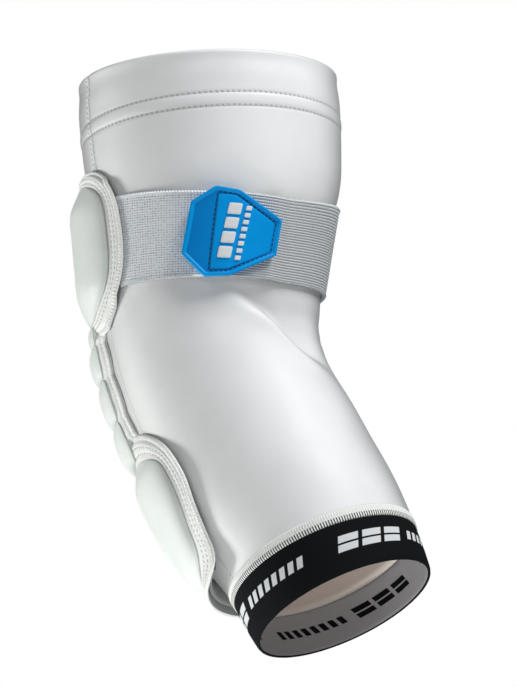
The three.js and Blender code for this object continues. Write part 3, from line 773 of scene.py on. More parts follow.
        # Painted shade that follows the slanted threads
        base = graph.mix(graph.maths("MULTIPLY_ADD", thread, 0.3, 0.3), base, shade(colour, 0.5))
        base = graph.mix(graph.between(v, 0.8, 1.4, 1.0, 0.0), base, shade(colour, 1.1))
        base = graph.mix(graph.between(u, 4.5, 5.5, 1.0, 0.0), base, shade(sizes.knit_colour, 0.95))
        graph.feed(shader.inputs["Base Color"], base)
        bump(graph, shader, height, 0.2, 0.6)
        return made

    def loop_elastic(self, sizes):
        """Loop face: columns of looped cells with dark specks between them, and two plain edges."""
        made, graph, shader = material("loop_elastic", 0.65, sheen=0.3, specular=0.4)
        u, v = graph.uv(graph.cloth_map())
        column = graph.between(graph.off_middle(graph.share(u, LOOP_CELL[0])), 0.26, 0.48)
        row = graph.between(graph.off_middle(graph.share(v, LOOP_CELL[1])), 0.2, 0.46)
        beside = graph.maths("MULTIPLY", column, graph.maths("MULTIPLY_ADD", row, 0.8, 0.2))
        speck = graph.maths("MAXIMUM", beside, graph.maths("MULTIPLY", row, 0.3))
        uneven = graph.between(self.lint(graph, 0.9)["Height"], 0.38, 0.6, 0.15, 1.0)
        speck = graph.maths("MULTIPLY", speck, uneven)
        base = graph.tint(speck, sizes.strap_colour, 1.45, 0.16)
        base = graph.mix(graph.between(v, 1.1, 1.7, 1.0, 0.0), base, shade(sizes.strap_colour, 1.6))
        base = graph.mix(graph.between(v, 38.9, 39.4), base, shade(sizes.strap_colour, 1.1))
        graph.feed(shader.inputs["Base Color"], base)
        bump(graph, shader, graph.maths("SUBTRACT", 1.0, speck), 0.25, 0.8)
        return made

    def cuff_face(self, name, ground, mark, sizes):
        """Woven elastic: a fine chequer of two sines, with the motif woven in."""
        made, graph, shader = material(name, 0.85, specular=0.06)
        place = graph.cloth_map()
        u, v = graph.uv(place)
        weave = graph.maths("MULTIPLY", graph.wave(u, 0.9), graph.wave(v, 0.9))
        mask = graph.group(self.blocks, {
            "Vector": place, "Middle": sizes.motif_middle / MM, "Period": sizes.motif_period / MM,
            "Shift": sizes.motif_shift / MM}, "Mask")
        base = graph.mix(mask, shade(ground, 1.0), shade(mark, 1.0))
        base = graph.mix(graph.maths("MULTIPLY_ADD", weave, 0.06, 0.06), base, (0.04, 0.04, 0.045, 1.0))
        graph.feed(shader.inputs["Base Color"], base)
        height = graph.maths("MULTIPLY_ADD", weave, 0.5, 0.5)
        bump(graph, shader, graph.maths("ADD", height, self.lint(graph, 0.5)["Height"]), 0.08, 0.5)
        return made

    def flatlock(self, sizes):
        """Overlock threads across the seam; the dark cuff shows between them on its side."""
        made, graph, shader = material("flatlock_thread", 0.7, sheen=0.3, specular=0.3)
        u, v = graph.uv(graph.cloth_map())
        run = graph.off_middle(graph.share(u, sizes.overlock_pitch / MM))
        gap = graph.between(run, 0.22, 0.34)
        tooth = graph.maths("MULTIPLY", gap, graph.between(v, 2.8, 3.2))
        base = graph.tint(graph.maths("MULTIPLY", gap, 0.3), sizes.border_colour, 1.0, 0.5)
        base = graph.mix(tooth, base, shade(sizes.cuff_colour, 1.0))
        graph.feed(shader.inputs["Base Color"], base)
        bump(graph, shader, self.lint(graph, 0.3)["Height"], 0.1, 0.6)
        return made


FINISHES = {}


def finishes(context):
    """The finishes, made when they are first asked for."""
    if "all" not in FINISHES:
        FINISHES["all"] = Finishes(context.scene.arm_sleeve)
    return FINISHES["all"]


# Cloth of the sleeve

def drape(along, angle):
    """How the knit lies, in mm: broad waves, the strap's squeeze with a swell above and below it, a
    hollow that deepens from the strap's lower edge to a slanted line and rises again below it, and
    soft folds inside the elbow. Nothing under the pads."""
    top, bottom = STRAP_TOP, STRAP_BOTTOM
    turn = np.radians(angle)
    free = step(angle, 62, 84) * (1 - step(angle, 276, 298))
    waves = 0.22 * np.sin(along / 19 + 2 * turn) + 0.16 * np.sin(along / 11 - 3 * turn + 1.1)
    shifted = along - strap_shift(angle)
    squeeze = -0.35 * step(shifted, top - 3, top + 2) * (1 - step(shifted, bottom - 2, bottom + 3))
    outside = 1 - step(shifted, top - 4, top + 1) * (1 - step(shifted, bottom - 1, bottom + 4))
    swells = 0.5 * bell(shifted, top - 9, 7) + 0.35 * bell(shifted, bottom + 11, 8)
    line = smooth(HOLLOW_LINE[:, 0], HOLLOW_LINE[:, 1], angle)
    deep = step(angle, 104, 138) * (1 - step(angle, 150, 180))
    sink = HOLLOW_DEPTH * np.clip((along - bottom) / (line - bottom), 0, 1) ** 1.2
    fold = deep * (0.6 * bell(along, line + 10, 7) - sink * (1 - step(along, line - 4, line + 9)))
    inner = bell(angle, 186, 34)
    folds = 0.12 * inner * (bell(along, 128, 4) + bell(along, 141, 5) - bell(along, 134.5, 3))
    return free * (outside * (waves + swells + fold + folds) + squeeze)


def hem_relief(along):
    """The rim's roll, the ridge between the stitch rows, and the two rows pulled in."""
    ridge = 0.36 * bell(along, sum(HEM_ROWS) / 2, HEM_BAND / 2) + 0.5 * bell(along, 12, 8)
    pulled = bell(along, HEM_ROWS[0], 0.8) + bell(along, HEM_ROWS[1], 0.8)
    return 0.8 * bell(along, 0, 4) + ridge - 0.28 * pulled


def sleeve_section():
    """Rows round the wall's section, as along and height, and how many of them are outside: down
    the outside, and back up the inside to a rim that folds over the hem's turned-in layer."""
    turns = np.radians([80, 60, 40, 20, 0])
    roll = 1.5
    fold = SLEEVE_WALL + HEM_GAP + HEM_WALL
    end = CUFF_START - EDGE_GAP
    down = np.concatenate([np.arange(2.2, 20, 1.4), np.arange(20.2, 30, 0.6), np.arange(31, end, 2.0), [end]])
    up = np.concatenate([[end], np.arange(end - 4, 6, -6.0), [5, 4, 3.5, 3.2, 2.4]])
    inside = np.where(up < 3.4, -fold, -SLEEVE_WALL)
    along = np.concatenate([roll * (1 - np.sin(turns)), down, up, roll * (1 - np.sin(turns[::-1]))])
    rim, back = roll * (np.cos(turns) - 1), roll * (1 - np.cos(turns[::-1])) - fold
    return along, np.concatenate([rim, 0 * down, inside, back]), len(turns) + len(down)


def clustered(total, spacing, near=(0.3, 0.8, 1.5, 2.6)):
    """Distances from 0 to the total, closer together at both ends."""
    near = np.array([0, *near])
    middle = np.linspace(near[-1], total - near[-1], max(2, round((total - 2 * near[-1]) / spacing)) + 1)
    return np.concatenate([near[:-1], middle, total - near[:-1][::-1]])


def sleeve_panel(name, start, end, finish):
    """A panel between two seams: each point of the section is carried round the tube. The wall sinks
    by a bell curve towards its seams."""
    along, height, outer = sleeve_section()
    at = clustered(math.radians(end - start) * radius(60), 2.0)
    share = at / at[-1]
    gap = degrees_for(SEAM_GAP / 2, along)[:, None]
    angle = (start + gap) * (1 - share) + (end - gap) * share
    sink = (bell(at, 0, 1.2) + bell(at, at[-1], 1.2)) * (0.03 + 0.42 * (1 - step(along, 50, 70)))[:, None]
    outside = (np.arange(len(along)) < outer)[:, None]
    relief = drape(along[:, None], angle % 360) + np.where(outside, hem_relief(along)[:, None] - sink, 0)
    points = place(along[:, None], angle, height[:, None] + relief)
    u = np.radians(angle) * SLEEVE_HALF
    wrap = np.vstack([u, u[:1]]), np.append(along, along[0])[:, None]
    looks = np.where(np.arange(len(along)) < outer, 0, 1)
    looks[-5:] = 0
    return surface(name, points, *wrap, looks, [finish.knit, finish.knit_inside], wrap_rows=True, cap="one")


def ring_section(name, along, height, looks, materials, columns, relief=None, turn_length=None, v_from=0.0):
    """A closed ring whose section, as along and height, is carried all the way round the tube. Its
    map runs from 0 to the turn's length round it, and from v_from along it."""
    angle = np.linspace(0, 360, columns + 1)
    out = height[:, None] + (0 if relief is None else relief(along[:, None], angle[None, :-1]))
    points = place(along[:, None], angle[None, :-1], out)
    total = turn_length or 2 * math.pi * radius(along.mean())
    u = np.broadcast_to(angle / 360 * total, (len(along) + 1, columns + 1))
    v = np.append(along, along[0])[:, None] - v_from
    return surface(name, points, u, v, looks, materials, wrap_rows=True, wrap_columns=True)


def hem_lining(finish):
    """The hem's turned-in layer: a flat ring that lies inside the wall and follows its drape."""
    outside = -SLEEVE_WALL - HEM_GAP
    down = np.linspace(3.8, HEM_DEPTH, 12)
    middle = [outside - HEM_WALL / 2]
    along = np.concatenate([down, [HEM_DEPTH + 0.2], down[::-1], [3.6]])
    height = np.concatenate([0 * down + outside, middle, 0 * down + outside - HEM_WALL, middle])
    materials = [finish.knit, finish.knit_inside]
    return ring_section("hem_lining", along, height, [1] * len(along), materials, 150, drape)


def cuff_band(finish, sizes):
    """The elastic cuff: a ring whose face bulges by half a sine wave, with rolled edges. Its map
    holds a whole number of the motif's periods."""
    end = SLEEVE_LENGTH
    down = np.concatenate([[CUFF_START + 0.1], np.linspace(CUFF_START + 0.6, end - 1.2, 18),
                           [end - 0.6, end - 0.2]])
    bulge = 0.35 * np.sin(np.pi * (down - CUFF_START) / CUFF_DEPTH)
    rim = -0.25 * step(down, end - 1.3, end - 0.2) - 0.2 * bell(down, CUFF_START, 0.4)
    along = np.concatenate([down, [end], down[::-1]])
    height = np.concatenate([bulge + rim, [-CUFF_WALL / 2], bulge[::-1] - CUFF_WALL - rim[::-1]])
    looks = np.array([0] * (len(down) + 2) + [1] * (len(down) - 1))
    period = sizes.motif_period / MM
    total = round(2 * math.pi * radius(CUFF_START + 10) / period) * period
    materials = [finish.cuff, finish.cuff_inside]
    return ring_section("cuff_elastic_band", along, height, looks, materials, 200, None, total)


def cuff_seam(finish, sizes):
    """The overlock seam over the cuff's upper edge: a flat ring with a bar for each thread."""
    start, wide = CUFF_START - 3.4, 5.2
    share = np.linspace(0, 1, 13)
    count = round(2 * math.pi * radius(CUFF_START) / (sizes.overlock_pitch / MM))

    def threads(along, angle):
        """Bars across the seam's face: the root of the absolute cosine of the turn, a bar a pitch."""
        bar = np.sqrt(np.abs(np.cos(np.pi * angle / 360 * count)))
        across = np.clip((along - start) / wide, 0, 1)
        body = np.clip(1 - np.abs(2 * across - 1) ** 4, 0, 1) ** 0.5
        raised = np.where(across > 0, 0.5 * body * (0.45 + 0.55 * bar), 0)
        return np.where(np.arange(len(along))[:, None] < len(share), raised, 0)

    along = np.concatenate([start + wide * share, [start + wide * 0.66, start + wide * 0.33]])
    height = np.concatenate([0.06 + 0 * share, [-0.9, -0.9]]) + 0.04
    total = count * sizes.overlock_pitch / MM
    looks = [0] * len(along)
    return ring_section("cuff_seam", along, height, looks, [finish.seam], count * 8, threads, total, start)


def kept(piece, nodes=()):
    """Sets a finished piece on the object's one body, and hides the frame's nodes that it stands for."""
    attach(piece, "root")
    if nodes:
        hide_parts(*nodes)
    return piece


def path_on_sleeve(along, angle, height):
    """A path on the tube, and the same path one millimetre further out."""
    return place(along, angle, height), place(along, angle, height + 1)


# Pads

def dome_outline(pad, start, end, rows):
    """A dome's outline in the flat: its half widths along it, mirrored, with rounded corners."""
    pad_start, length, width, _ = pad
    shares = np.linspace(0, 1, 160)
    half = width / 2 * smooth(rows[:, 0], rows[:, 1], shares)
    flat = flat_outline(pad_start + start * length, (end - start) * length, half, shares)
    return rounded(flat, OUTLINE_POINTS, DOME_CORNER)[0]


def pad_rings(pad, dome):
    """A border's rings in the flat, and the run round its edge: the sewn edge, then inwards along
    rays from the middle, as BORDER_RINGS says."""
    start, length, width, outline = pad
    shares = np.linspace(0, 1, 200)
    half = width / 2 * smooth(outline[:, 0], outline[:, 1], shares)
    edge, run = rounded(flat_outline(start, length, half, shares), OUTLINE_POINTS, BORDER_CORNER)
    centre = np.array([0, start + length * (dome[0] + dome[1]) / 2])
    inner = met_by_rays(centre, dome_outline(pad, *dome), edge)
    gap = np.linalg.norm(edge - inner, axis=1)[:, None]
    ray, sewn = (inner - edge) / gap, BORDER_RINGS[-1][0]
    rings = [edge + ray * (far + share * (gap - sewn)) for far, share, _, _ in BORDER_RINGS]
    rings = [ring + (centre - ring) * spec[2] for ring, spec in zip(rings, BORDER_RINGS)]
    return np.array(rings), run


def skirt(flat, distance):
    """How far the border's edge comes down to the sleeve, fading inwards from the edge: none where
    the strap passes under it, and none along the forearm pad."""
    along = flat[..., 1]
    strap = step(along, STRAP_TOP - 11, STRAP_TOP - 6) * (1 - step(along, STRAP_BOTTOM + 2, STRAP_BOTTOM + 7))
    stands = step(along, FOREARM_START + 4, FOREARM_START + 24)
    return (BORDER_LOW - 0.4) * (1 - strap) * (1 - stands) * (1 - step(distance, *SKIRT_SPAN))


def border_heights(rings, run):
    """The border's top: each ring's own height, threads round its edge as a cosine of the run, the
    lift of the pad's end and the skirt."""
    relief = np.array([spec[3] for spec in BORDER_RINGS])[:, None]
    pitch = run[-1] / round(run[-1] / OVERCAST_PITCH)
    threads = np.zeros_like(rings[..., 0])
    threads[OVERCAST_RINGS] = 0.22 * np.cos(2 * np.pi * run[:-1] / pitch)
    distance = np.linalg.norm(rings - rings[0], axis=-1)
    return BORDER_TOP + relief + threads + lift(rings[..., 1]) - skirt(rings, distance), distance


def border_piece(name, pad, dome, finish):
    """A pad's border: rings over its top from the middle out to the edge, and back underneath."""
    rings, run = pad_rings(pad, dome)
    top, distance = border_heights(rings, run)
    low = rings[UNDER_RINGS]
    under = BORDER_LOW + lift(low[..., 1]) - skirt(low, distance[UNDER_RINGS])
    under += 0.25 * bell(distance[UNDER_RINGS], 0, 1.0)
    flat = np.concatenate([rings[::-1], low])
    points = place(flat[..., 1], degrees_for(flat[..., 0], flat[..., 1]), np.concatenate([top[::-1], under]))
    u, v = (np.hstack([flat[..., k], flat[:, :1, k]]) for k in (0, 1))
    # The underside takes the dark backing felt, painted shade under the border
    looks = [0] * (len(BORDER_RINGS) + 1) + [1] * (len(low) - 2)
    return surface(name, points, u, v, looks, [finish.border, finish.backing], wrap_columns=True, poles=True)


def border_stitch_rows(pad, dome):
    """The two rows of stitches round a pad's border, a little off its face."""
    rings, run = pad_rings(pad, dome)
    top, _ = border_heights(rings, run)
    rows = []
    for k in STITCH_RINGS:
        along, angle = rings[k][:, 1], degrees_for(rings[k][:, 0], rings[k][:, 1])
        rows.append(spaced_on(*path_on_sleeve(along, angle, top[k] + 0.14), BORDER_STITCH_PITCH, True))
    return rows


def elbow_half_width(along):
    """The elbow border's half width: it swells by a sine over each lobe."""
    share = (along - ELBOW_START) / ELBOW_LENGTH
    half = np.full_like(share, ELBOW_BORDER_WIDTH / 2)
    for start, end, _, _ in LOBES:
        swelling = SCALLOP * np.maximum(0, np.sin(np.pi * (share - start) / (end - start)))
        half = np.where((share >= start) & (share < end), ELBOW_BORDER_WIDTH / 2 + swelling, half)
    return half


# Columns across the elbow border: distance from its edge in mm, and height off its face
ELBOW_EDGE = np.array([
    (0.0, -0.8), (0.12, -0.36), (0.45, -0.02), (0.9, 0.14), (1.35, 0.1), (1.75, -0.12),
    (2.05, -0.36), (2.5, -0.05), (3.1, 0.06), (3.6, -0.2), (4.1, 0.05), (5.0, 0.1),
    (5.6, -0.2), (6.2, 0.1), (7.0, 0.2), (8.0, 0.0),
])


def elbow_border(finish):
    """A strip over the elbow: overcast edges that swell beside each lobe, with threads as a cosine
    along them, and a flat middle under the lobes. Its two ends tuck under the pads' borders."""
    end = ELBOW_START + ELBOW_LENGTH
    along = np.linspace(ELBOW_START - ELBOW_TUCK, end + ELBOW_TUCK, 130)
    half = elbow_half_width(along)
    inner = np.linspace(ELBOW_EDGE[-1, 0], ELBOW_BORDER_WIDTH / 2, 9)[1:]
    side = np.concatenate([ELBOW_EDGE[:, 0], inner])
    rise = np.concatenate([ELBOW_EDGE[:, 1], 0 * inner])
    distance = np.concatenate([side, side[::-1][1:]])
    relief = np.concatenate([rise, rise[::-1][1:]])
    sign = np.concatenate([-np.ones(len(side)), np.ones(len(side) - 1)])
    arc = sign * np.maximum(0, half[:, None] - distance * half[:, None] / (ELBOW_BORDER_WIDTH / 2))
    flat = np.stack([arc, np.broadcast_to(along[:, None], arc.shape)], -1)
    overcast = (distance > 0.1) & (distance < 1.9)
    threads = 0.1 * np.cos(2 * np.pi * along / OVERCAST_PITCH)[:, None] * overcast
    drop = skirt(flat, distance[None]) + 0.2 * (1 - step(distance, *SKIRT_SPAN))
    tuck = step(ELBOW_START - along, -0.6, 2.4) + step(along - end, -0.6, 2.4)
    top = BORDER_TOP + relief + threads - drop - 2.4 * tuck[:, None]
    under = np.minimum(BORDER_LOW - drop, top - 0.3)
    # Its underside takes the dark backing felt, painted shade under the border
    angle, materials = degrees_for(arc, along[:, None]), [finish.border, finish.backing]
    return plate("elbow_border_knit", along[:, None], angle, top, under, materials, arc, flat[..., 1])


def moulded(name, along, half_arc, across, height, low, finish, sizes):
    """A moulded pad: rows along the sleeve, and columns across it at shares of its half width. Cloth
    swells it, and one level of subdivision smooths it."""
    angle = across * degrees_for(half_arc, along)[:, None]
    arc = across * half_arc[:, None]
    row = np.broadcast_to(along[:, None], arc.shape)
    piece = plate(name, row, angle, height, low, [finish.foam, finish.foam], arc, row)
    swell(piece, held_points(len(along), len(across)), sizes)
    finer = piece.modifiers.new("finer", "SUBSURF")
    finer.levels = finer.render_levels = 1
    return piece


def held_points(rows, columns):
    """Points of a plate that Cloth keeps in place: its underside and the edge of its top."""
    number = np.arange(2 * rows * columns).reshape(2 * rows, columns)
    edge = np.concatenate([number[0], number[rows - 1], number[:rows, 0], number[:rows, -1]])
    return np.unique(np.concatenate([edge, number[rows:].ravel()]))


def edge_shares(count, power):
    """Shares from -1 to 1 that come closer together towards both ends: 1 - (1 - |t|)^power."""
    t = np.linspace(-1, 1, count)
    return np.sign(t) * (1 - (1 - np.abs(t)) ** power)


def crown(across, fall, power):
    """Height across a dome: 1 - |across|^fall, to the given power."""
    return np.maximum(0, 1 - np.abs(across) ** fall) ** power


def pad_dome(name, pad, dome, rise, finish, sizes):
    """A large dome: its rise along the sleeve times the crown across it, with its ends let down by
    bell curves."""
    start, length, width, _ = pad
    first, last, rows = dome
    share = (edge_shares(41, 1.7) + 1) / 2
    along = start + length * (first + (last - first) * share)
    half = width / 2 * smooth(rows[:, 0], rows[:, 1], share)
    across = edge_shares(45, 1.7)
    up = (rise - DOME_WALL) * smooth(rows[:, 0], rows[:, 2], share)
    foot = DOME_LOW + lift(along)[:, None]
    low = foot - 0.35 + 0 * across
    height = foot + 0.5 + 0.97 * up[:, None] * crown(across, 3.0, 0.5)
    tips = bell(np.minimum(share, 1 - share), 0, 0.006)[:, None]
    height = height - 0.45 * np.maximum(bell(np.abs(across), 1, 0.012), tips)
    return moulded(name, along, half, across, height, low, finish, sizes)


def elbow_lobe(number, lobe, finish, sizes):
    """A lobe: its swell along the sleeve is the square root of 1 - |2s - 1|^2.6, times the crown
    across it. The first and the last are sunk into the pads beside them."""
    first, last, width, rise = lobe
    share = (edge_shares(25, 1.8) + 1) / 2
    along = ELBOW_START + ELBOW_LENGTH * first + (ELBOW_LENGTH * (last - first) - EDGE_GAP) * share
    swelling = np.sqrt(np.maximum(0, 1 - np.abs(2 * share - 1) ** 2.6))
    half = ELBOW_WIDTH / 2 * width * (1 - LOBE_TAPER + LOBE_TAPER * swelling)
    across = edge_shares(29, 1.8)
    up = (LOBE_RISE * rise - DOME_WALL) * swelling
    sunk = 2.0 if number in (1, len(LOBES)) else 0.6
    foot = DOME_LOW + lift(along)[:, None]
    height = foot + 0.3 + 0.97 * up[:, None] * crown(across, 2.3, 0.75)
    low = foot - sunk + 0 * across
    return moulded(f"elbow_lobe_foam_{number}", along, half, across, height, low, finish, sizes)


def backing_piece(name, along, half, finish):
    """A thin felt layer with shallow creases across it, as sines of the run along it."""
    across = edge_shares(41, 1.3)
    arc = across * half[:, None]
    crease = 0.12 * np.sin(along / 2.1)[:, None] * (0.5 + 0.5 * across ** 2)
    low = LAYER_GAP + lift(along)[:, None] + crease
    top = LAYER_GAP + BACKING_WALL + lift(along)[:, None] + 0 * arc
    row = np.broadcast_to(along[:, None], arc.shape)
    return plate(name, row, degrees_for(arc, row), top, low, [finish.backing, finish.backing], arc, row)


# Strap and tab

def strap_piece(name, angles, underside, relief, materials, skew=0.0):
    """A strap: its section, rows over its face and back underneath, is carried round the tube. Its
    two edges wave along the strap by a cosine, and its first end is cut on a slant."""
    across = np.linspace(-1, 1, 161) * STRAP_HALF
    back = np.linspace(1, -1, 9) * (STRAP_HALF - 0.3)
    row = np.concatenate([across, back])
    slant = skew * (1 - step(angles, angles[0], angles[0] + 14))
    angle = angles[None, :] - slant[None] * row[:, None] / STRAP_HALF
    length = np.radians(angles - angles[0]) * radius(STRAP_CENTRE)
    turn = np.cos(2 * np.pi * length / BEAD_PITCH)[None]
    wave = 0.3 * turn * step(np.abs(row), STRAP_HALF - 1.2, STRAP_HALF)[:, None]
    along = STRAP_CENTRE + row[:, None] + strap_shift(angle) + wave * np.sign(row)[:, None]
    edge = step(np.abs(across), STRAP_HALF - 0.9, STRAP_HALF)[:, None]
    bead = (0.16 + 0.22 * turn) * bell(np.abs(across), STRAP_HALF - 0.8, 0.7)[:, None]
    ends = np.maximum(bell(length, 0, 0.5), bell(length, length[-1], 0.5))[None]
    pattern = relief(across[:, None], length[None]) * (1 - edge)
    face = STRAP_WALL + pattern + bead - 0.7 * edge ** 2 - 0.5 * ends
    height = np.concatenate([underside + face, np.broadcast_to(underside, (len(back), len(angles)))])
    u = np.broadcast_to(length, (len(row) + 1, len(angles)))
    v = np.append(row, row[0])[:, None] + STRAP_HALF
    looks = [0] * (len(across) - 1) + [1] * (len(back) + 1)
    return surface(name, place(along, angle, height), u, v, looks, materials, wrap_rows=True, cap="one")


def tab_outline(corners, count, reach):
    """Corners given as reach and drop, in mm from the tab's middle, rounded."""
    return rounded((corners - [0.5, 0]) * [TAB_REACH, STRAP_HALF + TAB_OVERHANG], count, reach)


def on_tab(flat, height):
    """A point of the tab, given in mm from its middle, on the strap's free end."""
    along = STRAP_CENTRE + flat[..., 1]
    return place(along, TAB_ANGLE + degrees_for(flat[..., 0], along), TAB_LOW + height)


def tab_plate(finish):
    """The moulded tab, in rings: over its rounded rim, down to the face, down into the stitched
    channel round the panel, over the panel, and then underneath."""
    edge, _ = tab_outline(TAB_CORNERS, 360, TAB_CORNER)
    centre = np.array([0.1 * TAB_REACH, 0.0])
    edge = edge[np.argsort(np.arctan2(*(edge - centre).T[::-1]))]
    panel = met_by_rays(centre, tab_outline(TAB_PANEL, 360, PANEL_CORNER)[0], edge)
    inwards = (centre - edge) / np.linalg.norm(edge - centre, axis=1)[:, None]
    face, top = TAB_WALL, TAB_WALL + TAB_RIM_HEIGHT
    rim = TAB_RIM_WIDTH * RIM_SHARE
    over = [(0.0, 1.2), (0.0, top - 0.55), (0.12, top - 0.22), (0.4, top - 0.04), (0.7, top),
            (rim - 0.5, top), (rim - 0.2, top - 0.08), (rim + 0.1, top - 0.4), (rim + 0.25, face + 0.08),
            (rim + 0.55, face)]
    rings = [(edge + inwards * far, high) for far, high in over]
    room = np.linalg.norm(panel - rings[-1][0], axis=1)[:, None]
    near = np.minimum(room * 0.5, 1.1)
    outwards = (rings[-1][0] - panel) / room
    rings += [(panel + outwards * near, face), (panel + outwards * near * 0.8, face - 0.18),
              (panel + outwards * near * 0.25, face - 0.22), (panel, face - 0.05),
              (panel - outwards * 0.25, face + 0.3), (panel - outwards * 0.7, face + PANEL_RISE)]
    last = rings[-1][0]
    rings += [(last + (centre - last) * share, face + PANEL_RISE) for share in (0.2, 0.45, 0.7, 0.9)]
    under = [(edge + inwards * far, high) for far, high in [(0.0, 0.35), (0.25, 0.08), (0.7, 0.0)]]
    low = under[-1][0]
    under += [(low + (centre - low) * share, 0.0) for share in (0.3, 0.6, 0.9)]
    ordered = rings[::-1] + under
    flat = np.array([ring for ring, _ in ordered])
    height = np.array([np.full(len(edge), high) for _, high in ordered])
    u, v = (np.hstack([flat[..., k], flat[:, :1, k]]) for k in (0, 1))
    looks = [2] * 6 + [0] * (len(rings) - len(over) - 6) + [1] * (len(over) + 1) + [0] * (len(under) - 2)
    # The panel's face and the rim take the lighter rubbers, painted highlight
    materials = [finish.tab, finish.tab_rim, finish.tab_panel]
    return surface(
        "pull_tab_moulded", on_tab(flat, height), u, v, looks, materials, wrap_columns=True, poles=True)


def tab_stitch_row():
    """Stitches in the channel round the tab's panel."""
    panel, _ = tab_outline(TAB_PANEL, 300, PANEL_CORNER)
    centre = panel.mean(0)
    line = centre + (panel - centre) * 1.045
    low, high = on_tab(line, TAB_WALL - 0.12), on_tab(line, TAB_WALL + 0.88)
    return [spaced_on(low, high, TAB_STITCH_PITCH, True)]


def tab_marks(finish):
    """Plain raised bars and studs on the panel, in two slanted columns. Each is a block whose
    outline is a cosine and a sine to the power 0.22, which rounds its corners."""
    blocks = [(-1.2, -11.5 + 6.9 * k, 5.2, 5.3) for k in range(4)]
    blocks += [(4.1, -12.2 + 3.4 * k, 2.3, 2.0) for k in range(8)]
    turn = np.linspace(0, 2 * np.pi, 33)[:-1]
    round_square = [np.sign(wave) * np.abs(wave) ** 0.22 for wave in (np.cos(turn), np.sin(turn))]
    rings = [(0.5, 0.5), (0.93, 0.5), (0.985, 0.42), (1.0, 0.2), (1.0, -0.15), (0.5, -0.15)]
    no_map = np.zeros((len(rings), len(turn) + 1))
    made = []
    for k, (across, down, wide, tall) in enumerate(blocks):
        ring = np.stack([round_square[0] * wide / 2, round_square[1] * tall / 2], 1)
        flat = np.array([ring * size for size, _ in rings]) + [across, down]
        flat[..., 0] -= (flat[..., 1] + 0.5) * 0.14
        height = TAB_WALL + PANEL_RISE + np.array([high for _, high in rings])[:, None] + 0 * flat[..., 0]
        made.append(surface(f"tab_mark_{k}", on_tab(flat, height), no_map, no_map, [0] * (len(rings) - 1),
                            [finish.tab_mark], wrap_columns=True, poles=True))
    return made


def joined(name, pieces):
    """Several pieces as one object."""
    bpy.ops.object.select_all(action="DESELECT")
    for piece in pieces:
        piece.select_set(True)
    bpy.context.view_layer.objects.active = pieces[0]
    bpy.ops.object.join()
    pieces[0].name = name
    return pieces[0]


# Sizes and colours

def length_setting(name, text, default):
    """A length that the sidebar shows."""
    return FloatProperty(
        name=name, description=text, default=default, min=0.0, unit="LENGTH", subtype="DISTANCE")


def colour_setting(name, text, default):
    """A colour that the sidebar shows."""
    return FloatVectorProperty(
        name=name, description=text, default=default, size=3, min=0.0, max=1.0, subtype="COLOR")


class ArmSleeveSizes(bpy.types.PropertyGroup):
    """Sizes and colours of the sleeve, which the sidebar shows"""
    wale_pitch: length_setting("Knit column", "Width of one column of the sleeve's knit", 0.0009)
    stitch_pitch: length_setting("Hem stitch", "Length from one hem stitch to the next", 0.0024)
    overlock_pitch: length_setting("Overlock pitch", "Length from one thread of the cuff's seam on", 0.0012)
    rib_count: IntProperty(
        name="Strap ribs", description="Ribs across the strap's free end", default=32, min=1)
    motif_middle: length_setting("Motif row", "Where the cuff's woven blocks lie along the sleeve", 0.2458)
    motif_period: length_setting("Motif period", "Length of one repeat of the cuff's blocks", 0.085)
    motif_shift: length_setting("Motif shift", "How far round the cuff the blocks are turned", 0.0124)
    pad_pressure: FloatProperty(
        name="Pad pressure", description="Pressure that swells the pads", default=4.0, min=0.0)
    pad_swell: length_setting("Pad swell", "Furthest that a pad's point may move as it swells", 0.0009)
    pad_frames: IntProperty(
        name="Pad frames", description="Steps of the pads' simulation", default=16, min=2)
    knit_colour: colour_setting("Knit", "The sleeve's outer face", (0.83, 0.845, 0.845))
    lining_colour: colour_setting("Lining", "The sleeve's inner face", (0.80, 0.72, 0.66))
    border_colour: colour_setting("Border", "The pads' sewn borders", (0.90, 0.915, 0.89))
    foam_colour: colour_setting("Foam", "The pads' moulded faces", (0.74, 0.785, 0.755))
    # The backing's grey, darkened as painted shade where it shows under the pads
    backing_and_shade_colour: colour_setting("Backing", "The layer under the pads", (0.21, 0.22, 0.21))
    strap_colour: colour_setting("Strap", "The strap's elastic", (0.53, 0.56, 0.58))
    tab_colour: colour_setting("Tab", "The pull tab's rubber", (0.0, 0.205, 0.57))
    # The tab's panel and rim: lighter blues than its rubber, painted highlight
    tab_panel_lit_colour: colour_setting("Tab panel", "The pull tab's stitched panel", (0.0, 0.30, 0.76))
    tab_rim_lit_colour: colour_setting("Tab rim", "The pull tab's raised rim", (0.0, 0.31, 0.75))
    cuff_colour: colour_setting("Cuff", "The cuff's outer face", (0.004, 0.005, 0.006))
    cuff_lining_colour: colour_setting("Cuff lining", "The cuff's inner face", (0.45, 0.45, 0.47))
    motif_colour: colour_setting("Motif", "The cuff's woven blocks and the tab's marks", (0.72, 0.75, 0.77))


# Operators

class ARM_SLEEVE_OT_sleeve(bpy.types.Operator):
    """Makes the knit panels and the hem's turned-in layer"""
    bl_idname = "arm_sleeve.sleeve"
    bl_label = "Knit sleeve"

    def execute(self, context):
        finish = finishes(context)
        front = sleeve_panel("sleeve_knit_front", SEAM_ANGLE, 360 - SEAM_ANGLE, finish)
        kept(front, ["sleeve_panel"])
        back = sleeve_panel("sleeve_knit_back", -SEAM_ANGLE, SEAM_ANGLE, finish)
        kept(back, ["back_panel"])
        lining = kept(hem_lining(finish), ["top_hem"])
        return {"FINISHED"}


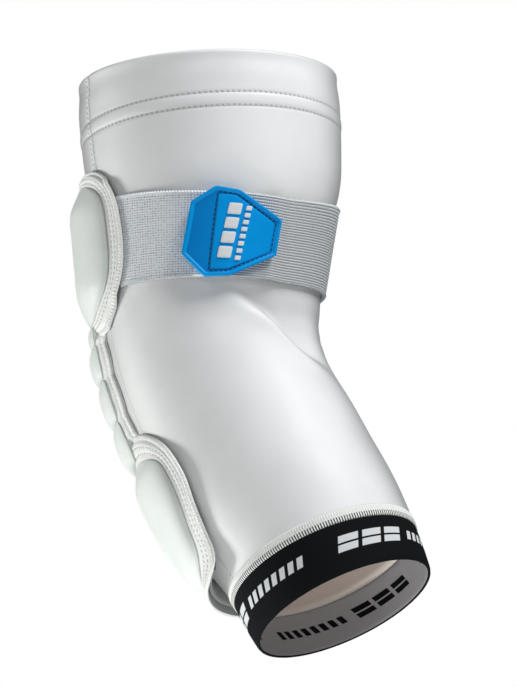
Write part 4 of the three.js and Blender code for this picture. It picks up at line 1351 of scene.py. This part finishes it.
class ARM_SLEEVE_OT_stitching(bpy.types.Operator):
    """Makes the stitch rows of the hem and of the two seams"""
    bl_idname = "arm_sleeve.stitching"
    bl_label = "Hem and seam stitches"

    def execute(self, context):
        finish, pitch = finishes(context), context.scene.arm_sleeve.stitch_pitch / MM
        angle = np.linspace(0, 360, 361)
        rows = []
        for along in HEM_ROWS:
            height = hem_relief(np.array(along)) + drape(along, angle) + 0.02
            rows.append(spaced_on(*path_on_sleeve(0 * angle + along, angle, height), pitch, False))
        kept(stitches("hem_stitches", rows, HEM_STITCH, finish.shaded_hem_thread, slant=0.12))
        along = np.linspace(*SEAM_STITCHED, 160)
        rows = []
        for side in (-1, 1):
            for offset in (-1.5, 1.5):
                at = side * (SEAM_ANGLE + degrees_for(offset, along))
                height = hem_relief(along) + drape(along, at % 360) - 0.08
                rows.append(spaced_on(*path_on_sleeve(along, at, height), pitch, False))
        kept(stitches("seam_stitches", rows, SEAM_STITCH, finish.thread, slant=0.5))
        return {"FINISHED"}


class ARM_SLEEVE_OT_cuff(bpy.types.Operator):
    """Makes the elastic cuff and the overlock seam that joins it to the sleeve"""
    bl_idname = "arm_sleeve.cuff"
    bl_label = "Cuff"

    def execute(self, context):
        finish, sizes = finishes(context), context.scene.arm_sleeve
        cuff = kept(cuff_band(finish, sizes), ["cuff_band"])
        kept(cuff_seam(finish, sizes))
        return {"FINISHED"}


class ARM_SLEEVE_OT_backings(bpy.types.Operator):
    """Makes the felt layers under the pads"""
    bl_idname = "arm_sleeve.backings"
    bl_label = "Pad backings"

    def execute(self, context):
        finish = finishes(context)
        for name, node, pad in (
            ("upper_felt", "upper_backing", UPPER_PAD), ("forearm_felt", "forearm_backing", FOREARM_PAD),
        ):
            start, length, width, outline = pad
            along = np.linspace(start + BACKING_INSET, start + length - BACKING_INSET, FELT_ROWS)
            half = width / 2 * smooth(outline[:, 0], outline[:, 1], (along - start) / length) - BACKING_INSET
            piece = kept(backing_piece(name, along, half, finish), [node])
        along = np.linspace(ELBOW_START, ELBOW_START + ELBOW_LENGTH, FELT_ROWS)
        half = 0 * along + ELBOW_WIDTH / 2 - BACKING_INSET
        piece = kept(backing_piece("elbow_felt", along, half, finish), ["elbow_backing"])
        return {"FINISHED"}


class ARM_SLEEVE_OT_borders(bpy.types.Operator):
    """Makes the pads' sewn borders with their stitches"""
    bl_idname = "arm_sleeve.borders"
    bl_label = "Pad borders"

    def execute(self, context):
        finish = finishes(context)
        rows = []
        for name, node, pad, dome in (
            ("upper_border_knit", "upper_border", UPPER_PAD, UPPER_DOME_SPAN),
            ("forearm_border_knit", "forearm_border", FOREARM_PAD, FOREARM_DOME_SPAN),
        ):
            piece = kept(border_piece(name, pad, dome, finish), [node])
            rows += border_stitch_rows(pad, dome)
        piece = kept(elbow_border(finish), ["elbow_border"])
        piece = stitches("border_stitches", rows, BORDER_STITCH, finish.shaded_border_thread, slant=0.35)
        kept(piece)
        return {"FINISHED"}


class ARM_SLEEVE_OT_pads(bpy.types.Operator):
    """Makes the two moulded domes and the four lobes over the elbow"""
    bl_idname = "arm_sleeve.pads"
    bl_label = "Moulded pads"

    def execute(self, context):
        finish, sizes = finishes(context), context.scene.arm_sleeve
        for name, node, pad, dome, rise in (
            ("upper_dome_foam", "upper_dome", UPPER_PAD, UPPER_DOME_SPAN, UPPER_RISE),
            ("forearm_dome_foam", "forearm_dome", FOREARM_PAD, FOREARM_DOME_SPAN, FOREARM_RISE),
        ):
            piece = kept(pad_dome(name, pad, dome, rise, finish, sizes), [node])
        for number, lobe in enumerate(LOBES, 1):
            piece = elbow_lobe(number, lobe, finish, sizes)
            kept(piece, [f"elbow_lobe_{number}"])
        return {"FINISHED"}


class ARM_SLEEVE_OT_strap(bpy.types.Operator):
    """Makes the strap's landing layer and its ribbed free end"""
    bl_idname = "arm_sleeve.strap"
    bl_label = "Strap"

    def execute(self, context):
        finish, sizes = finishes(context), context.scene.arm_sleeve
        rib = STRAP_WIDTH / sizes.rib_count

        def ribs(across, run):
            """Rounded ribs: the square root of the absolute sine across the strap."""
            return 0.3 * np.sqrt(np.abs(np.sin(np.pi * (across + STRAP_HALF) / rib))) - 0.15 + 0 * run

        def cells(across, run):
            """Looped cells: the root of the product of two absolute sines."""
            long, wide = LOOP_CELL
            cell = np.abs(np.sin(np.pi * run / long)) * np.abs(np.sin(np.pi * (across + STRAP_HALF) / wide))
            return 0.26 * np.sqrt(cell) - 0.12

        angles = np.linspace(STRAP_START, LANDING_END, 190)
        flat_on = np.full((1, len(angles)), STRAP_GAP)
        piece = strap_piece("strap_loop_face", angles, flat_on, cells, [finish.landing, finish.strap_back])
        kept(piece, ["strap_landing"])
        angles = np.linspace(FREE_END, 360 - STRAP_START, 340)
        piece = strap_piece("strap_ribbed_end", angles, free_height(angles)[None], ribs,
                            [finish.ribs, finish.strap_back], END_SLANT)
        kept(piece, ["strap_free_end"])
        return {"FINISHED"}


class ARM_SLEEVE_OT_tab(bpy.types.Operator):
    """Makes the moulded pull tab with its stitches and marks"""
    bl_idname = "arm_sleeve.tab"
    bl_label = "Pull tab"

    def execute(self, context):
        finish = finishes(context)
        kept(tab_plate(finish), ["pull_tab"])
        kept(stitches("tab_stitches", tab_stitch_row(), TAB_STITCH, finish.tab_thread))
        kept(joined("tab_marks", tab_marks(finish)))
        return {"FINISHED"}


# Light and camera. The photograph's view is 13 degrees round and 13 degrees below the horizon
VIEW_TURN, VIEW_RISE, LENS, SENSOR = 13.0, -13.0, 160.0, 36
VIEW_TARGET = (0.01829, 0.01280, -0.03558)
VIEW_DISTANCE = 1.3526
FLOOR_HEIGHT, FLOOR_HALF, FLOOR_GLOW = -0.66, 3.0, 0.12
SKY_SEEN, SKY_AROUND = 1.0, 0.1
WHITE = (1, 1, 1, 1)

# Lamps: where each stands, what it points at, its two sides, its power and its tint
LAMPS = {
    "key_softbox": ((0.85, -0.48, 1.15), (0.02, 0, -0.06), (0.5, 0.7), 23, (0.99, 0.99, 1.0)),
    "front_softbox": ((-0.2, -1.45, 0.4), (0, 0, -0.05), (0.7, 0.7), 2.5, (1.0, 1.0, 1.0)),
    "left_softbox": ((-1.38, 0.0, -0.5), (0, 0, -0.05), (0.4, 0.4), 14.5, (1.0, 1.0, 0.97)),
    "mouth_light": ((0.1, -0.06, -0.5), (0.075, 0, -0.15), (0.1, 0.1), 0.75, (1.0, 1.0, 1.0)),
}


def aimed(stand, back):
    """The matrix of a camera or lamp at a point, with its back that way and its sides level."""
    right = np.cross([0, 0, 1], back)
    right = right / np.linalg.norm(right)
    axes = np.stack([right, np.cross(back, right), back], 1)
    return Matrix.Translation(stand) @ Matrix(axes.tolist()).to_4x4()


def lamp(name, stand, aim, sides, power, tint):
    """A soft rectangular light at a point, turned towards another."""
    data = bpy.data.lights.new(name, "AREA")
    data.shape = "RECTANGLE"
    data.size, data.size_y = sides
    data.energy, data.color = power, tint
    made = bpy.data.objects.new(name, data)
    made.visible_camera = False
    away = np.array(stand) - np.array(aim)
    made.matrix_world = aimed(stand, away / np.linalg.norm(away))
    bpy.context.scene.collection.objects.link(made)


def camera():
    """The camera at the photograph's angle, at its distance from the object's middle."""
    turn, rise = math.radians(VIEW_TURN), math.radians(VIEW_RISE)
    back = np.array([math.sin(turn) * math.cos(rise), -math.cos(turn) * math.cos(rise), math.sin(rise)])
    made = bpy.data.objects.new("camera", bpy.data.cameras.new("camera"))
    made.data.lens, made.data.sensor_width = LENS, SENSOR
    made.data.clip_start, made.data.clip_end = 0.05, 50
    made.matrix_world = aimed(np.array(VIEW_TARGET) + back * VIEW_DISTANCE, back)
    bpy.context.scene.collection.objects.link(made)
    bpy.context.scene.camera = made


def floor(finish):
    """A plain pale floor: one square, which glows faintly and so lights the object from below."""
    made, graph, shader = material("pale_floor", 0.9, specular=0.1)
    tone = finish.lint(graph, 4.0)["Tone"]
    graph.feed(shader.inputs["Base Color"], graph.mix(tone, (0.86, 0.86, 0.86, 1), (0.9, 0.9, 0.9, 1)))
    # Painted light: the floor's glow lights the object from below
    shader.inputs["Emission Color"].default_value = WHITE
    shader.inputs["Emission Strength"].default_value = FLOOR_GLOW
    corners = np.array([(-1, -1), (1, -1), (1, 1), (-1, 1)]) * FLOOR_HALF
    mesh = bpy.data.meshes.new("floor")
    mesh.from_pydata(np.column_stack([corners, np.full(4, FLOOR_HEIGHT)]).tolist(), [], [(0, 1, 2, 3)])
    mesh.materials.append(made)
    piece = bpy.data.objects.new("floor", mesh)
    bpy.context.scene.collection.objects.link(piece)


def studio_sky():
    """A world that the camera sees white, and that lights the object only a little."""
    world = bpy.data.worlds.new("studio")
    world.use_nodes = True
    world.node_tree.nodes.clear()
    sky = Graph(world.node_tree)
    seen = sky.node("Background", {"Color": WHITE, "Strength": SKY_SEEN})
    around = sky.node("Background", {"Color": (0.95, 0.975, 1.0, 1), "Strength": SKY_AROUND})
    path = sky.node("LightPath")
    both = sky.node("MixShader", {
        0: path.outputs["Is Camera Ray"], 1: around.outputs[0], 2: seen.outputs[0]})
    sky.node("OutputWorld", {"Surface": both.outputs[0]})
    bpy.context.scene.world = world


class ARM_SLEEVE_OT_stage(bpy.types.Operator):
    """Makes the floor, the sky, the soft lights and the camera"""
    bl_idname = "arm_sleeve.stage"
    bl_label = "Stage"

    def execute(self, context):
        camera()
        floor(finishes(context))
        studio_sky()
        for name, row in LAMPS.items():
            lamp(name, *row)
        context.scene.view_settings.view_transform = "Standard"
        return {"FINISHED"}


OPERATORS = [
    ARM_SLEEVE_OT_sleeve, ARM_SLEEVE_OT_stitching, ARM_SLEEVE_OT_cuff, ARM_SLEEVE_OT_backings,
    ARM_SLEEVE_OT_borders, ARM_SLEEVE_OT_pads, ARM_SLEEVE_OT_strap, ARM_SLEEVE_OT_tab, ARM_SLEEVE_OT_stage,
]


class ARM_SLEEVE_PT_panel(bpy.types.Panel):
    """Lists the sleeve's sizes, colours and pieces"""
    bl_label = "Arm sleeve"
    bl_space_type = "VIEW_3D"
    bl_region_type = "UI"
    bl_category = "Arm sleeve"

    def draw(self, context):
        for name in ArmSleeveSizes.__annotations__:
            self.layout.prop(context.scene.arm_sleeve, name)
        for operator in OPERATORS:
            self.layout.operator(operator.bl_idname)


def register():
    """Registers the sizes, the operators and the panel."""
    for item in (ArmSleeveSizes, *OPERATORS, ARM_SLEEVE_PT_panel):
        bpy.utils.register_class(item)
    bpy.types.Scene.arm_sleeve = PointerProperty(type=ArmSleeveSizes)


def unregister():
    """Takes them away again."""
    del bpy.types.Scene.arm_sleeve
    for item in (ARM_SLEEVE_PT_panel, *reversed(OPERATORS), ArmSleeveSizes):
        bpy.utils.unregister_class(item)


def main():
    """Makes every piece."""
    register()
    for operator in OPERATORS:
        group, name = operator.bl_idname.split(".")
        getattr(getattr(bpy.ops, group), name)()


if __name__ == "__main__":
    main()
